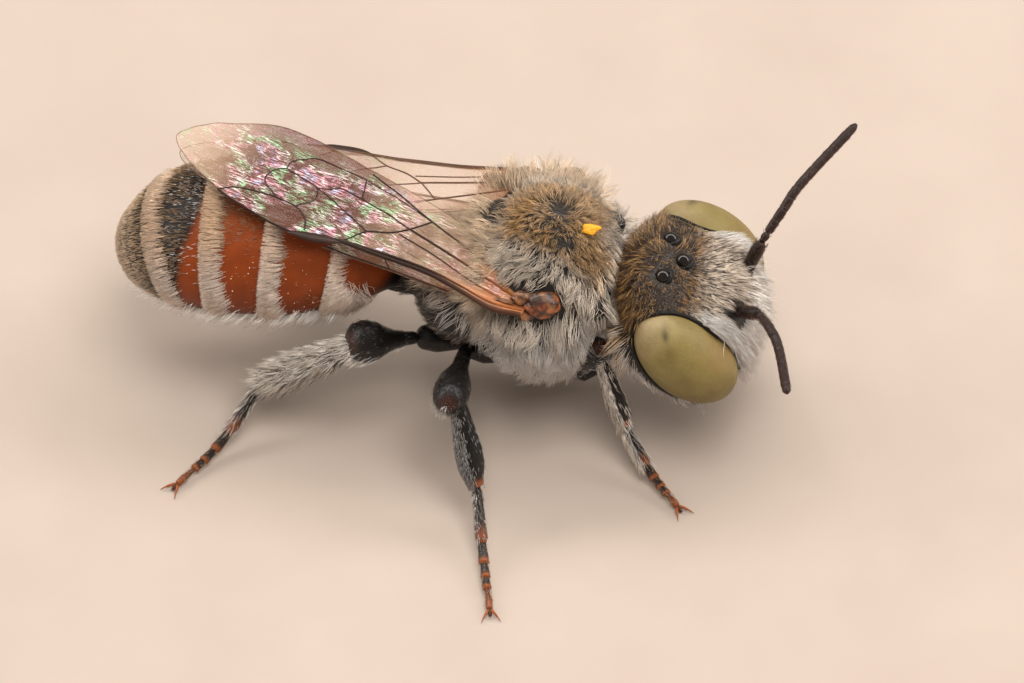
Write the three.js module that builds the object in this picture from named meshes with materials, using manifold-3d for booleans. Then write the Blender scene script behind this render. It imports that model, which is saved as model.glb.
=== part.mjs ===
// A male leafcutter-type bee at rest: standing on six feet, wings folded back over the abdomen.
// Millimetres. +X is the way the head points, +Y is the bee's left, +Z is up, the floor is z = 0.
// The solids reach out to the tips of the coat. Feelers, feet and wings are thickened to THIN.
import * as THREE from 'three';
import { mergeVertices } from 'three/addons/utils/BufferGeometryUtils.js';
import Module from 'manifold-3d';

const wasm = await Module();
wasm.setup();

// ---- driving dimensions -------------------------------------------------------------------
const THIN = 0.5; // least thickness of a feeler, foot or wing
const GAP = 0.05; // clearance between neighbouring pieces
const WELD = 1e-4; // vertices closer than this are one vertex
const SMOOTHED = 0.012; // detail finer than this is dropped after a cut
const RIGHT = -1; // sign of y on the bee's right side
const LEFT = 1;

const HEAD = {
  centre: [2.46, 0, 2.44],
  pitch: THREE.MathUtils.degToRad(41), // the face slopes forward and down by this much
  halfWidth: 1.74,
  crown: 1.46, // from the centre up to the hair on top of the head
  chin: 1.34, // from the centre down to the tips of the beard
  face: 1.08, // from the centre out to the coat of the face
  brow: 0.73, // the same above the feelers, where the coat is short
  nape: 0.98,
  chinNarrowing: 0.16, // share of the width lost at the chin
};
const MANDIBLE = { // points along, out and off the face, and the radius at each end
  path: [[0.78, 0.95, 0], [1.2, 0.72, 0.18], [1.4, 0.3, 0.28]],
  radii: [0.26, 0.2],
};
const EYE = { along: 0.09, out: 1.27, front: 0.0, halfLength: 1.02, halfDepth: 0.66, halfWidth: 0.66 };
const OCELLUS = {
  radius: 0.18, sideAlong: -0.97, sideOut: 0.445, sideFront: 0.42, midAlong: -0.7, midFront: 0.56,
};
const ANTENNAE = { // the left feeler reaches up and out, the right one hangs lower
  left: {
    socket: [3.28, 0.46, 2.78], elbow: [3.52, 0.66, 3.34], bend: [4.04, 1.6, 3.86], tip: [4.73, 2.73, 4.13],
  },
  right: {
    socket: [3.3, 0.48, 2.8], elbow: [3.7, 0.84, 3.16], bend: [4.16, 1.7, 3.27], tip: [4.43, 2.72, 3.39],
  },
};

const THORAX = {
  centre: [0, 0, 2.6],
  halfLength: 1.47,
  halfWidth: 1.94,
  halfHeight: 1.88,
  keel: 0.14, // share of the width lost towards the belly
  shoulders: 0.1, // and at the front corners
};
const PROPODEUM = { centre: [-1.42, 0, 2.2], halfLength: 1.0, halfWidth: 1.22, halfHeight: 1.12 };
const NECK = { from: [1.1, 0, 2.5], to: [1.95, 0, 2.5], radius: 0.42 };
const PETIOLE = { from: [-2.2, 0, 2.18], to: [-2.75, 0, 2.2], radius: 0.34 };
const TEGULA = { centre: [0.14, 1.47, 3.43], halfLength: 0.34, halfWidth: 0.27, halfHeight: 0.3 };

// The abdomen's middle line, seen from the side: x, z and the half width there.
const ABDOMEN = {
  stations: [
    [-2.5, 2.3, 0.36], [-3.0, 2.52, 0.86], [-3.6, 2.66, 1.2], [-4.3, 2.72, 1.4], [-5.0, 2.73, 1.48],
    [-5.7, 2.67, 1.43], [-6.25, 2.51, 1.27], [-6.7, 2.28, 1.0], [-7.0, 2.06, 0.66], [-7.2, 1.9, 0],
  ],
  flatness: 0.81, // half height as a share of half width
  margins: [-2.5, -3.6, -4.64, -5.58, -6.38, -6.85, -7.2], // x of the rear edge of each ring
};

// Right legs, from the body out. The left ones mirror them, with the middle foot set nearer.
const LEGS = {
  front: {
    hip: [1.0, 0.42, 1.42], trochanter: [0.55, 0.72, 1.05], knee: [1.06, 1.08, 2.12],
    ankle: [1.56, 1.46, 0.72], toe: [2.6, 2.52, 0.2],
    hipRadius: 0.27, femurRadius: [0.27, 0.31], tibiaRadius: [0.26, 0.27], leftReach: 1.02,
  },
  middle: {
    hip: [-0.7, 0.45, 1.2], trochanter: [-1.24, 0.72, 1.46], knee: [-1.19, 2.6, 2.2],
    ankle: [-0.67, 3.235, 0.75], toe: [-0.12, 5.26, 0.2],
    hipRadius: 0.28, femurRadius: [0.26, 0.34], tibiaRadius: [0.27, 0.3], leftReach: 0.8,
  },
  hind: {
    hip: [-1.5, 0.42, 1.35], trochanter: [-2.05, 0.85, 1.68], knee: [-2.88, 1.52, 2.12],
    ankle: [-4.57, 1.53, 0.9], toe: [-5.72, 3.32, 0.2],
    hipRadius: 0.28, femurRadius: [0.28, 0.36], tibiaRadius: [0.3, 0.34], leftReach: 0.94,
  },
};

const INSTEP = { share: 0.55, height: 0.16 }; // of the way from ankle to toe, and above the toe

// Wings in their own plane: u runs from the root to the tip, v from the costal edge inwards.
const FOREWING = {
  length: 6.62,
  leading: [
    [0, -0.42], [0.5, -0.54], [1.2, -0.43], [1.75, -0.36], [2.4, -0.39], [3.3, -0.42], [4.1, -0.66],
    [5.2, -0.5], [6.0, -0.24], [6.62, 0.2],
  ],
  trailing: [[0, 0.14], [0.9, 0.6], [1.9, 1.0], [3.4, 1.24], [5.0, 1.4], [6.0, 0.98], [6.62, 0.42]],
};
const HINDWING = {
  length: 4.5,
  leading: [[0, -0.1], [1.4, -0.12], [3.0, -0.2], [4.0, -0.1], [4.5, 0.25]],
  trailing: [[0, 0.16], [0.7, 0.86], [1.8, 1.3], [3.1, 1.28], [4.1, 0.9], [4.5, 0.45]],
};
const WING_BELOW = 0.16; // solid under the membrane, the rest of THIN lies above it
// Sweep turns a wing in towards the middle, rise lifts its tip, roll lifts its inner edge (degrees),
// and droop bends the costal edge down over the side of the abdomen.
// Reach shortens the left forewing, whose worn tip ends under the right one's.
const WINGS = {
  forewing_right: {
    side: RIGHT, shape: FOREWING, root: [-0.05, 1.4, 3.46],
    sweep: 14.7, rise: 8.1, roll: 0, droop: 0.02, reach: 1,
  },
  forewing_left: {
    side: LEFT, shape: FOREWING, root: [-0.03, 1.4, 3.42],
    sweep: 6, rise: 6.2, roll: 2, droop: 0.3, reach: 0.955,
  },
  hindwing_right: {
    side: RIGHT, shape: HINDWING, root: [-0.8, 1.14, 3.0],
    sweep: 12, rise: 9, roll: 0, droop: 0.02, reach: 1,
  },
  hindwing_left: {
    side: LEFT, shape: HINDWING, root: [-0.8, 1.14, 2.96],
    sweep: 6, rise: 8, roll: 0, droop: 0.2, reach: 1,
  },
};
const DROOP_FROM = 0.5; // v where the bend over the side begins

// ---- finishes -----------------------------------------------------------------------------
const finish = (color, roughness) => new THREE.MeshStandardMaterial({ color, roughness, metalness: 0 });
const COLOURS = {
  fur: () => finish('#a89478', 0.9),
  face: () => finish('#c9c0b4', 0.9),
  ringRed: () => finish('#8a3c18', 0.4),
  ringBlack: () => finish('#2a2220', 0.5),
  leg: () => finish('#2c2524', 0.5),
  foot: () => finish('#5a2a18', 0.45),
  eye: () => finish('#a39a5c', 0.25),
  ocellus: () => finish('#140f0e', 0.08),
  feeler: () => finish('#33201c', 0.45),
  wing: () => finish('#8c6f58', 0.3),
  tegula: () => finish('#8a4a1e', 0.3),
};

// ---- making solids ------------------------------------------------------------------------
function toSolid(geometry) {
  geometry.deleteAttribute('normal');
  geometry.deleteAttribute('uv');
  const merged = mergeVertices(geometry, WELD);
  return new wasm.Manifold(new wasm.Mesh({
    numProp: 3,
    vertProperties: merged.attributes.position.array,
    triVerts: Uint32Array.from(merged.index.array),
  }));
}

function toGeometry(solid) {
  const mesh = solid.getMesh();
  const geometry = new THREE.BufferGeometry();
  geometry.setAttribute('position', new THREE.BufferAttribute(Float32Array.from(mesh.vertProperties), 3));
  geometry.setIndex(new THREE.BufferAttribute(Uint32Array.from(mesh.triVerts), 1));
  geometry.computeVertexNormals();
  return geometry;
}

function reshape(geometry, move) {
  const position = geometry.attributes.position;
  const point = new THREE.Vector3();
  for (let i = 0; i < position.count; i += 1) {
    move(point.fromBufferAttribute(position, i));
    position.setXYZ(i, point.x, point.y, point.z);
  }
  return geometry;
}

function turnInsideOut(geometry) {
  const index = geometry.index.array;
  for (let i = 0; i < index.length; i += 3) {
    [index[i + 1], index[i + 2]] = [index[i + 2], index[i + 1]];
  }
  return geometry;
}

// A closed egg whose half sizes may differ ahead of and behind its centre.
function egg(around, along, move) {
  return reshape(new THREE.SphereGeometry(1, around, along), move);
}

// A limb: a round-ended tube through the given points, its radius running from one end to the other.
function limb(points, radii, grow, sides = 8, lengths = 1) {
  const CAP = 2; // rows in each round end
  const rows = lengths + 2 * CAP;
  const curve = points.length > 2
    ? new THREE.CatmullRomCurve3(points, false, 'centripetal')
    : new THREE.LineCurve3(...points);
  const across = new THREE.Vector3();
  const upright = new THREE.Vector3();
  return reshape(new THREE.SphereGeometry(1, sides, rows), (point) => {
    const row = Math.round((Math.acos(THREE.MathUtils.clamp(point.y, -1, 1)) / Math.PI) * rows);
    const turn = Math.atan2(point.z, point.x);
    const share = THREE.MathUtils.clamp((row - CAP) / lengths, 0, 1);
    const radius = THREE.MathUtils.lerp(radii[0], radii[1], share) + grow;
    const cap = (Math.min(row, CAP) - CAP + Math.max(row - rows + CAP, 0)) / CAP;
    const bulge = Math.sin((cap * Math.PI) / 2) * radius;
    const around = Math.cos((cap * Math.PI) / 2) * radius;
    const tangent = curve.getTangentAt(share);
    across.set(0, 0, 1).cross(tangent).normalize();
    upright.crossVectors(tangent, across);
    point.copy(curve.getPointAt(share)).addScaledVector(tangent, bulge)
      .addScaledVector(across, Math.cos(turn) * around).addScaledVector(upright, Math.sin(turn) * around);
  });
}

const at = (triple, side = LEFT) => new THREE.Vector3(triple[0], triple[1] * side, triple[2]);

// ---- the head -----------------------------------------------------------------------------
const headGroup = new THREE.Group();
headGroup.name = 'head_frame';
headGroup.position.set(...HEAD.centre);
headGroup.rotation.y = HEAD.pitch;
headGroup.updateMatrixWorld();
const onHead = (along, out, front) => new THREE.Vector3(along, out, front).applyMatrix4(headGroup.matrixWorld);

function head(grow) {
  return toSolid(egg(16, 11, (point) => {
    const narrowing = 1 - HEAD.chinNarrowing * Math.max(point.x, 0) ** 2;
    const front = THREE.MathUtils.lerp(HEAD.brow, HEAD.face, THREE.MathUtils.smoothstep(point.x, -0.5, 0.3));
    point.set(
      point.x * ((point.x > 0 ? HEAD.chin : HEAD.crown) + grow),
      point.y * narrowing * (HEAD.halfWidth + grow),
      point.z * ((point.z > 0 ? front : HEAD.nape) + grow),
    ).applyMatrix4(headGroup.matrixWorld);
  }));
}

function eye(side, grow) {
  return toSolid(egg(14, 8, (point) => {
    point.set(
      EYE.along + point.x * (EYE.halfLength + grow),
      side * EYE.out + point.y * (EYE.halfWidth + grow),
      EYE.front + point.z * (EYE.halfDepth + grow),
    ).applyMatrix4(headGroup.matrixWorld);
  }));
}

function ocellus(place, grow) {
  return toSolid(egg(8, 5, (point) => point.multiplyScalar(OCELLUS.radius + grow).add(place)));
}

function mandible(side, grow) {
  const points = MANDIBLE.path.map(([along, out, front]) => onHead(along, side * out, front));
  return toSolid(limb(points, MANDIBLE.radii, grow, 7, 2));
}

function feeler(side, names, sides, lengths, grow) {
  const points = names.map((name) => at(ANTENNAE[side === LEFT ? 'left' : 'right'][name], side));
  return toSolid(limb(points, [THIN / 2, THIN / 2], grow, sides, lengths));
}

const scape = (side, grow) => feeler(side, ['socket', 'elbow'], 8, 1, grow);
const flagellum = (side, grow) => feeler(side, ['elbow', 'bend', 'tip'], 8, 5, grow);

// ---- thorax and abdomen -------------------------------------------------------------------
function thorax(grow) {
  return toSolid(egg(18, 11, (point) => {
    const keel = 1 - THORAX.keel * Math.max(-point.z, 0);
    const shoulders = 1 - THORAX.shoulders * Math.max(point.x, 0) * Math.abs(point.y);
    point.set(
      THORAX.centre[0] + point.x * (THORAX.halfLength + grow),
      point.y * keel * shoulders * (THORAX.halfWidth + grow),
      THORAX.centre[2] + point.z * (THORAX.halfHeight + grow),
    );
  }));
}

function propodeum(grow) {
  return toSolid(egg(14, 8, (point) => point.set(
    PROPODEUM.centre[0] + point.x * (PROPODEUM.halfLength + grow),
    point.y * (PROPODEUM.halfWidth + grow),
    PROPODEUM.centre[2] + point.z * (PROPODEUM.halfHeight + grow),
  )));
}

function tegula(side, grow) {
  return toSolid(egg(10, 6, (point) => point.set(
    TEGULA.centre[0] + point.x * (TEGULA.halfLength + grow),
    side * TEGULA.centre[1] + point.y * (TEGULA.halfWidth + grow),
    TEGULA.centre[2] + point.z * (TEGULA.halfHeight + grow),
  )));
}

const rod = ({ from, to, radius }, grow) => toSolid(limb([at(from), at(to)], [radius, radius], grow, 10));

// Along this curve x and y are the middle line's x and z, and z is the half width.
const abdomenCurve = new THREE.CatmullRomCurve3(
  ABDOMEN.stations.map((station) => new THREE.Vector3(...station)),
);

// Where a falling or rising coordinate of a curve reaches a value.
function whereReached(curve, axis, value) {
  const falls = curve.getPoint(0)[axis] > curve.getPoint(1)[axis];
  let low = 0;
  let high = 1;
  for (let step = 0; step < 24; step += 1) {
    const middle = (low + high) / 2;
    if ((curve.getPoint(middle)[axis] > value) === falls) low = middle;
    else high = middle;
  }
  return low;
}

// One ring of the abdomen, from margin to margin; the last one closes to the tip.
function abdomenRing(number, grow) {
  const last = number === ABDOMEN.margins.length - 1;
  const start = number === 1 ? 0 : whereReached(abdomenCurve, 'x', ABDOMEN.margins[number - 1] + grow);
  const end = last ? 1 : whereReached(abdomenCurve, 'x', ABDOMEN.margins[number] + GAP - grow);
  const geometry = new THREE.CylinderGeometry(last ? 0 : 1, 1, 1, 22, 2);
  return toSolid(reshape(geometry, (point) => {
    const share = THREE.MathUtils.lerp(start, end, point.y + 0.5);
    const onAxis = Math.hypot(point.x, point.z) < WELD;
    const station = abdomenCurve.getPoint(share);
    const slope = abdomenCurve.getTangent(share);
    const run = Math.hypot(slope.x, slope.y);
    const girth = onAxis ? 0 : station.z + grow;
    const turn = Math.atan2(point.z, point.x);
    const height = Math.sin(turn) * girth * ABDOMEN.flatness;
    point.set(
      station.x + (slope.y / run) * height,
      Math.cos(turn) * girth,
      station.y - (slope.x / run) * height,
    );
  }));
}

// ---- legs ---------------------------------------------------------------------------------
function legPoint(leg, name, side) {
  const point = at(leg[name], side);
  if (side === LEFT) point.y *= THREE.MathUtils.lerp(1, leg.leftReach, Math.min(point.y / leg.toe[1], 1));
  return point;
}

const SEGMENTS = {
  coxa: (leg) => ({ path: ['hip', 'trochanter'], radii: [leg.hipRadius, leg.hipRadius] }),
  femur: (leg) => ({ path: ['trochanter', 'knee'], radii: leg.femurRadius }),
  tibia: (leg) => ({ path: ['knee', 'ankle'], radii: leg.tibiaRadius }),
  tarsus: () => ({ path: ['ankle', 'toe'], radii: [THIN / 2, THIN / 2] }),
};

const floorCutter = toSolid(new THREE.BoxGeometry(40, 40, 4).translate(0, 0, -2));

function legSegment(leg, segment, side, grow) {
  const { path, radii } = SEGMENTS[segment](leg);
  const ends = path.map((name) => legPoint(leg, name, side));
  if (segment === 'tarsus') {
    const instep = ends[0].clone().lerp(ends[1], INSTEP.share); // the foot flattens out before its claws
    instep.z = ends[1].z + INSTEP.height;
    ends.splice(1, 0, instep);
  }
  return toSolid(limb(ends, radii, grow, 8, segment === 'tarsus' ? 3 : 1)).subtract(floorCutter);
}

// ---- wings --------------------------------------------------------------------------------
const spline = (points) => new THREE.SplineCurve(points.map(([u, v]) => new THREE.Vector2(u, v)));

const edgeAt = (curve, u) => curve.getPoint(whereReached(curve, 'x', u)).y;

function wing({ side, shape, root, sweep, rise, roll, droop, reach }, below, above, grow) {
  const leading = spline(shape.leading);
  const trailing = spline(shape.trailing);
  const frame = new THREE.Matrix4().makeRotationFromEuler(new THREE.Euler(
    THREE.MathUtils.degToRad(roll), THREE.MathUtils.degToRad(-rise), THREE.MathUtils.degToRad(sweep), 'ZYX',
  ));
  const geometry = new THREE.BoxGeometry(1, 1, 1, 9, 2, 1);
  reshape(geometry, (point) => {
    const u = (point.x + 0.5) * shape.length;
    const v0 = edgeAt(leading, u) - grow;
    const v1 = edgeAt(trailing, u) + grow;
    const v = THREE.MathUtils.lerp(v0, v1, point.y + 0.5);
    const bend = droop * Math.max(DROOP_FROM - v, 0) ** 2;
    const lift = THREE.MathUtils.lerp(-below, above, point.z + 0.5) - bend;
    const local = new THREE.Vector3(u * reach + grow * 2 * point.x, v, lift);
    local.applyMatrix4(frame);
    point.set(root[0] - local.x, side * (root[1] - local.y), root[2] + local.z);
  });
  return toSolid(side === RIGHT ? turnInsideOut(geometry) : geometry);
}

// ---- cutting the neighbours clear of each other --------------------------------------------
const CLEAR = 6; // a wing this thick takes away all that it covers

const makers = new Map(); // node -> function of how much to grow it
const cutters = new Map(); // node -> the nodes that it makes room for
const looks = new Map(); // node -> finish

function part(name, colour, make, ...yieldsTo) {
  makers.set(name, make);
  looks.set(name, colour);
  cutters.set(name, yieldsTo);
}

for (const [suffix, side] of [['right', RIGHT], ['left', LEFT]]) {
  part(`eye_${suffix}`, 'eye', (grow) => eye(side, grow));
  part(`antenna_scape_${suffix}`, 'feeler', (grow) => scape(side, grow));
  part(`antenna_flagellum_${suffix}`, 'feeler', (grow) => flagellum(side, grow), `antenna_scape_${suffix}`);
  part(`mandible_${suffix}`, 'feeler', (grow) => mandible(side, grow), `eye_${suffix}`);
  for (const [pair, leg] of Object.entries(LEGS)) {
    let previous = [];
    for (const segment of Object.keys(SEGMENTS)) {
      const name = `leg_${pair}_${suffix}_${segment}`;
      const look = segment === 'tarsus' ? 'foot' : 'leg';
      part(name, look, (grow) => legSegment(leg, segment, side, grow), ...previous);
      previous = [name, ...previous];
    }
  }
}
const ocelli = {
  ocellus_median: onHead(OCELLUS.midAlong, 0, OCELLUS.midFront),
  ocellus_right: onHead(OCELLUS.sideAlong, RIGHT * OCELLUS.sideOut, OCELLUS.sideFront),
  ocellus_left: onHead(OCELLUS.sideAlong, LEFT * OCELLUS.sideOut, OCELLUS.sideFront),
};
for (const [name, place] of Object.entries(ocelli)) {
  part(name, 'ocellus', (grow) => ocellus(place, grow));
}

const onFace = [...makers.keys()].filter((name) => /^(eye|ocellus|antenna|mandible)/.test(name));
const legNodes = [...makers.keys()].filter((name) => name.startsWith('leg_'));
const forewings = ['forewing_right', 'forewing_left'];

part('neck', 'leg', (grow) => rod(NECK, grow));
part('petiole', 'leg', (grow) => rod(PETIOLE, grow));
for (const [suffix, side] of [['right', RIGHT], ['left', LEFT]]) {
  part(`tegula_${suffix}`, 'tegula', (grow) => tegula(side, grow), ...forewings);
}
part('head', 'face', head, ...onFace, 'neck', ...legNodes);
part('thorax', 'fur', thorax, ...legNodes, ...forewings, 'tegula_right', 'tegula_left', 'neck', 'head');
part('propodeum', 'fur', propodeum, 'thorax', ...legNodes, 'petiole');
const rings = [];
for (let number = 1; number < ABDOMEN.margins.length; number += 1) {
  rings.push(`abdomen_segment_${number}`);
  part(rings[number - 1], number < 5 ? 'ringRed' : 'ringBlack', (grow) => abdomenRing(number, grow),
    'petiole', 'propodeum', ...forewings, ...legNodes);
}
const slab = (name, spare, grow) => wing(WINGS[name], WING_BELOW + spare, THIN - WING_BELOW + spare, grow);
const besideHindwings = ['thorax', 'propodeum', 'tegula_right', 'tegula_left', ...rings];
part('forewing_right', 'wing', (grow) => slab('forewing_right', grow, grow));
part('forewing_left', 'wing', (grow) => slab('forewing_left', grow, grow));
part('hindwing_right', 'wing', (grow) => slab('hindwing_right', grow, grow), ...forewings, ...besideHindwings);
part('hindwing_left', 'wing', (grow) => slab('hindwing_left', grow, grow),
  ...forewings, 'hindwing_right', ...besideHindwings);

function largestPiece(solid) {
  return solid.decompose().reduce((best, piece) => (piece.volume() > best.volume() ? piece : best));
}

function carve(name) {
  let solid = makers.get(name)(0);
  if (name === 'forewing_left') solid = solid.subtract(slab('forewing_right', CLEAR, GAP)); // it lies beneath
  for (const other of cutters.get(name)) solid = solid.subtract(makers.get(other)(GAP));
  return largestPiece(solid.simplify(SMOOTHED));
}

// ---- the bee ------------------------------------------------------------------------------
const bee = new THREE.Group();
bee.name = 'bee';
bee.add(headGroup);

function addMesh(name) {
  const geometry = toGeometry(carve(name));
  const parent = onFace.includes(name) || name === 'head' ? headGroup : bee;
  geometry.applyMatrix4(parent.matrixWorld.clone().invert());
  geometry.computeBoundingBox();
  const pivot = geometry.boundingBox.getCenter(new THREE.Vector3());
  geometry.translate(-pivot.x, -pivot.y, -pivot.z);
  const mesh = new THREE.Mesh(geometry, COLOURS[looks.get(name)]());
  mesh.name = name;
  mesh.position.copy(pivot);
  parent.add(mesh);
}

for (const name of makers.keys()) addMesh(name);

// The origin goes under the middle of the bee, on the floor.
const middle = new THREE.Box3().setFromObject(bee).getCenter(new THREE.Vector3());
bee.position.set(-middle.x, -middle.y, 0);

export default bee;
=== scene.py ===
"""A male leafcutter-type bee, life size, standing with its wings folded back.

Everything is worked out in the bee's own frame, in millimetres: x forward, y to its left, z up,
x = y = 0 under the middle of the thorax. place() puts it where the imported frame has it, in metres.
"""
import math
from functools import reduce

import bmesh
import bpy
import numpy as np
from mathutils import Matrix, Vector
from mathutils.kdtree import KDTree


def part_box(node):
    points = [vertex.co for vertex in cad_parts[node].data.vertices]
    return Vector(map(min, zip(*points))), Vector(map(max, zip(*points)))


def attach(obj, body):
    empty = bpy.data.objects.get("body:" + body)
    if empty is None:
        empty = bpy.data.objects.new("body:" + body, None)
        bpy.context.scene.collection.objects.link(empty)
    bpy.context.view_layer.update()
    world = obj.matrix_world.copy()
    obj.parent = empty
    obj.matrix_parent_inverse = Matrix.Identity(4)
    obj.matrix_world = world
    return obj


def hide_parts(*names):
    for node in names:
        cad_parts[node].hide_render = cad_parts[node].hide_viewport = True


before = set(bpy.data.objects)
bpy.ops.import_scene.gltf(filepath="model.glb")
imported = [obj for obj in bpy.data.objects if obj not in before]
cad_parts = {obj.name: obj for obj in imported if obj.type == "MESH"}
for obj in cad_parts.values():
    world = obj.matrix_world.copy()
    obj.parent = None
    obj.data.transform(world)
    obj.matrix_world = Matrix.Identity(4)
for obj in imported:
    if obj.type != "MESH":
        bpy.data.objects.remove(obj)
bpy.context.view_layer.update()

MM = 0.001
TAU = 2 * math.pi
SIDES = {"right": -1, "left": 1}
X, Y, Z = np.eye(3)


# ---- small tools ---------------------------------------------------------------------------------
def unit(v):
    return v / np.maximum(np.linalg.norm(v, axis=-1, keepdims=True), 1e-12)


def dot(a, b):
    return (a * b).sum(-1, keepdims=True)


def lerp(a, b, t):
    return a + (b - a) * t


def smoothstep(x, low, high):
    t = np.clip((x - low) / (high - low), 0, 1)
    return t * t * (3 - 2 * t)


def bump(x, middle, reach):
    """1 at middle, falling smoothly to 0 at reach away from it."""
    return 1 - smoothstep(np.abs(x - middle), 0, reach)


def colour(red, green, blue):
    """A linear colour from an everyday 0 to 255 one."""
    c = np.array([red, green, blue], float) / 255
    return np.where(c < 0.04045, c / 12.92, ((c + 0.055) / 1.055) ** 2.4)


def mix(a, b, t):
    """Blends colours; t is one number for each row."""
    t = np.asarray(t, float)[..., None]
    return a * (1 - t) + b * t


def spline(points, count):
    """count points along a smooth curve through the given ones (Catmull-Rom)."""
    p = np.asarray(points, float)
    p = np.vstack([2 * p[0] - p[1], p, 2 * p[-1] - p[-2]])
    t = np.linspace(0, len(p) - 3 - 1e-9, count)
    i = t.astype(int)
    f = (t - i)[:, None]
    a, b, c, d = p[i], p[i + 1], p[i + 2], p[i + 3]
    return 0.5 * (2 * b + (c - a) * f + (2 * a - 5 * b + 4 * c - d) * f**2
                  + (3 * b - a - 3 * c + d) * f**3)


def wobble(points, scale, seed=0.0):
    """A smooth made-up unevenness between -1 and 1, for uneven edges of markings."""
    x, y, z = (points * scale + seed).T
    return (np.sin(x + 1.7 * np.sin(y * 1.3 + z)) + np.sin(y * 1.1 + 1.3 * np.sin(z * 1.7 + x))
            + np.sin(z * 0.9 + 1.5 * np.sin(x * 1.5 - y))) / 3


# ---- the body's sizes, as the CAD frame has them -------------------------------------------------
HEAD_PITCH = math.radians(41)
HEAD_CENTRE = np.array([2.46, 0, 2.44])
DOWN_FACE = np.array([math.cos(HEAD_PITCH), 0, -math.sin(HEAD_PITCH)])
OFF_FACE = np.array([math.sin(HEAD_PITCH), 0, math.cos(HEAD_PITCH)])
THORAX_CENTRE = np.array([0, 0, 2.62])
EYE_HALF = np.array([1.02, 0.66, 0.66])  # along the face, out to the side, off the face
EYE_AT = np.array([0.09, 1.27, 0.0])
EYE_FIT = {"right": -0.014, "left": 0.045}  # how much fuller than EYE_HALF each eye is
OCELLI = {"median": (-0.7, 0, 0.56), "right": (-0.97, -0.445, 0.42), "left": (-0.97, 0.445, 0.42)}


def on_head(along, out, front):
    """A point of the head: along runs down the face, out to the left, front off the face."""
    along, out, front = (np.asarray(v, float)[..., None] for v in (along, out, front))
    return HEAD_CENTRE + along * DOWN_FACE + out * Y + front * OFF_FACE


def head_local(points):
    q = points - HEAD_CENTRE
    return q @ DOWN_FACE, q @ Y, q @ OFF_FACE


low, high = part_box("ocellus_median")
OFFSET = np.array((low + high) / 2) / MM - on_head(*OCELLI["median"])
OFFSET[2] = 0


def place(points):
    return (np.asarray(points) + OFFSET) * MM


# ---- meshes --------------------------------------------------------------------------------------
def show(obj):
    bpy.context.scene.collection.objects.link(obj)
    return obj


def finish_piece(mesh, tints, material, nodes=()):
    """Colours a mesh at its points and shows it as a piece that rides on the bee's one body."""
    layer = mesh.color_attributes.new("tint", "FLOAT_COLOR", "POINT")
    layer.data.foreach_set("color", np.c_[tints, np.ones(len(tints))].astype(np.float32).ravel())
    mesh.materials.append(material)
    mesh.shade_smooth()
    obj = show(bpy.data.objects.new(mesh.name, mesh))
    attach(obj, "root")
    if nodes:
        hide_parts(*nodes)
    return obj


class Shape:
    """Closed shells gathered into one mesh, with a colour at every point."""

    def __init__(self):
        self.points, self.faces, self.tints, self.total = [], [], [], 0

    def add(self, points, faces, tint):
        self.faces += [tuple(int(i) + self.total for i in f) for f in faces]
        self.points.append(points)
        self.tints.append(np.broadcast_to(tint, points.shape))
        self.total += len(points)
        return self

    def piece(self, name, material, slot, nodes=()):
        mesh = bpy.data.meshes.new(name)
        mesh.from_pydata(place(np.vstack(self.points)), [], self.faces)
        return finish_piece(mesh, np.vstack(self.tints), material, nodes)

    def part(self, name, material, slot):
        """A piece that stands for the CAD node of its own name."""
        return self.piece(name, material, slot, [name])


def ball(detail=4):
    """Unit directions and faces of an even ball."""
    bm = bmesh.new()
    bmesh.ops.create_icosphere(bm, subdivisions=detail, radius=1)
    points = np.array([v.co for v in bm.verts])
    faces = [tuple(v.index for v in f.verts) for f in bm.faces]
    bm.free()
    return points, faces


def facing(faces, side):
    """Faces as they are on the left side, turned over for the mirrored right one."""
    return faces if side > 0 else [f[::-1] for f in faces]


def tube_walls(rings, around):
    """Quads between rings of points that follow one another."""
    faces = []
    for j in range(rings - 1):
        for k in range(around):
            a, b = j * around + k, j * around + (k + 1) % around
            faces.append((a, b, b + around, a + around))
    return faces


def tube_faces(rings, around):
    """Walls, and the two ends as fans about the two points that come after the rings."""
    faces, middle, end = tube_walls(rings, around), rings * around, (rings - 1) * around
    for k in range(around):
        after = (k + 1) % around
        faces += [(middle, after, k), (middle + 1, end + k, end + after)]
    return faces


def path_frames(path):
    """Two directions square to a path at each point, carried along it without twisting."""
    tangent = unit(np.gradient(path, axis=0))
    first = np.cross(tangent[0], Z if abs(tangent[0] @ Z) < 0.9 else X)
    sides = [first / np.linalg.norm(first)]
    for t in tangent[1:]:
        s = sides[-1] - (sides[-1] @ t) * t
        sides.append(s / np.linalg.norm(s))
    sides = np.array(sides)
    return tangent, sides, np.cross(tangent, sides)


def sweep(path, radius, around=16, squash=1.0):
    """A closed round tube along a path. radius has one value for each point."""
    radius = np.broadcast_to(radius, len(path))
    _, side, up = path_frames(path)
    turn = (np.arange(around) * TAU / around)[:, None]
    ring = side[:, None] * np.cos(turn) + up[:, None] * np.sin(turn) * squash
    points = (path[:, None] + ring * radius[:, None, None]).reshape(-1, 3)
    return np.vstack([points, path[0], path[-1]]), tube_faces(len(path), around)


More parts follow.
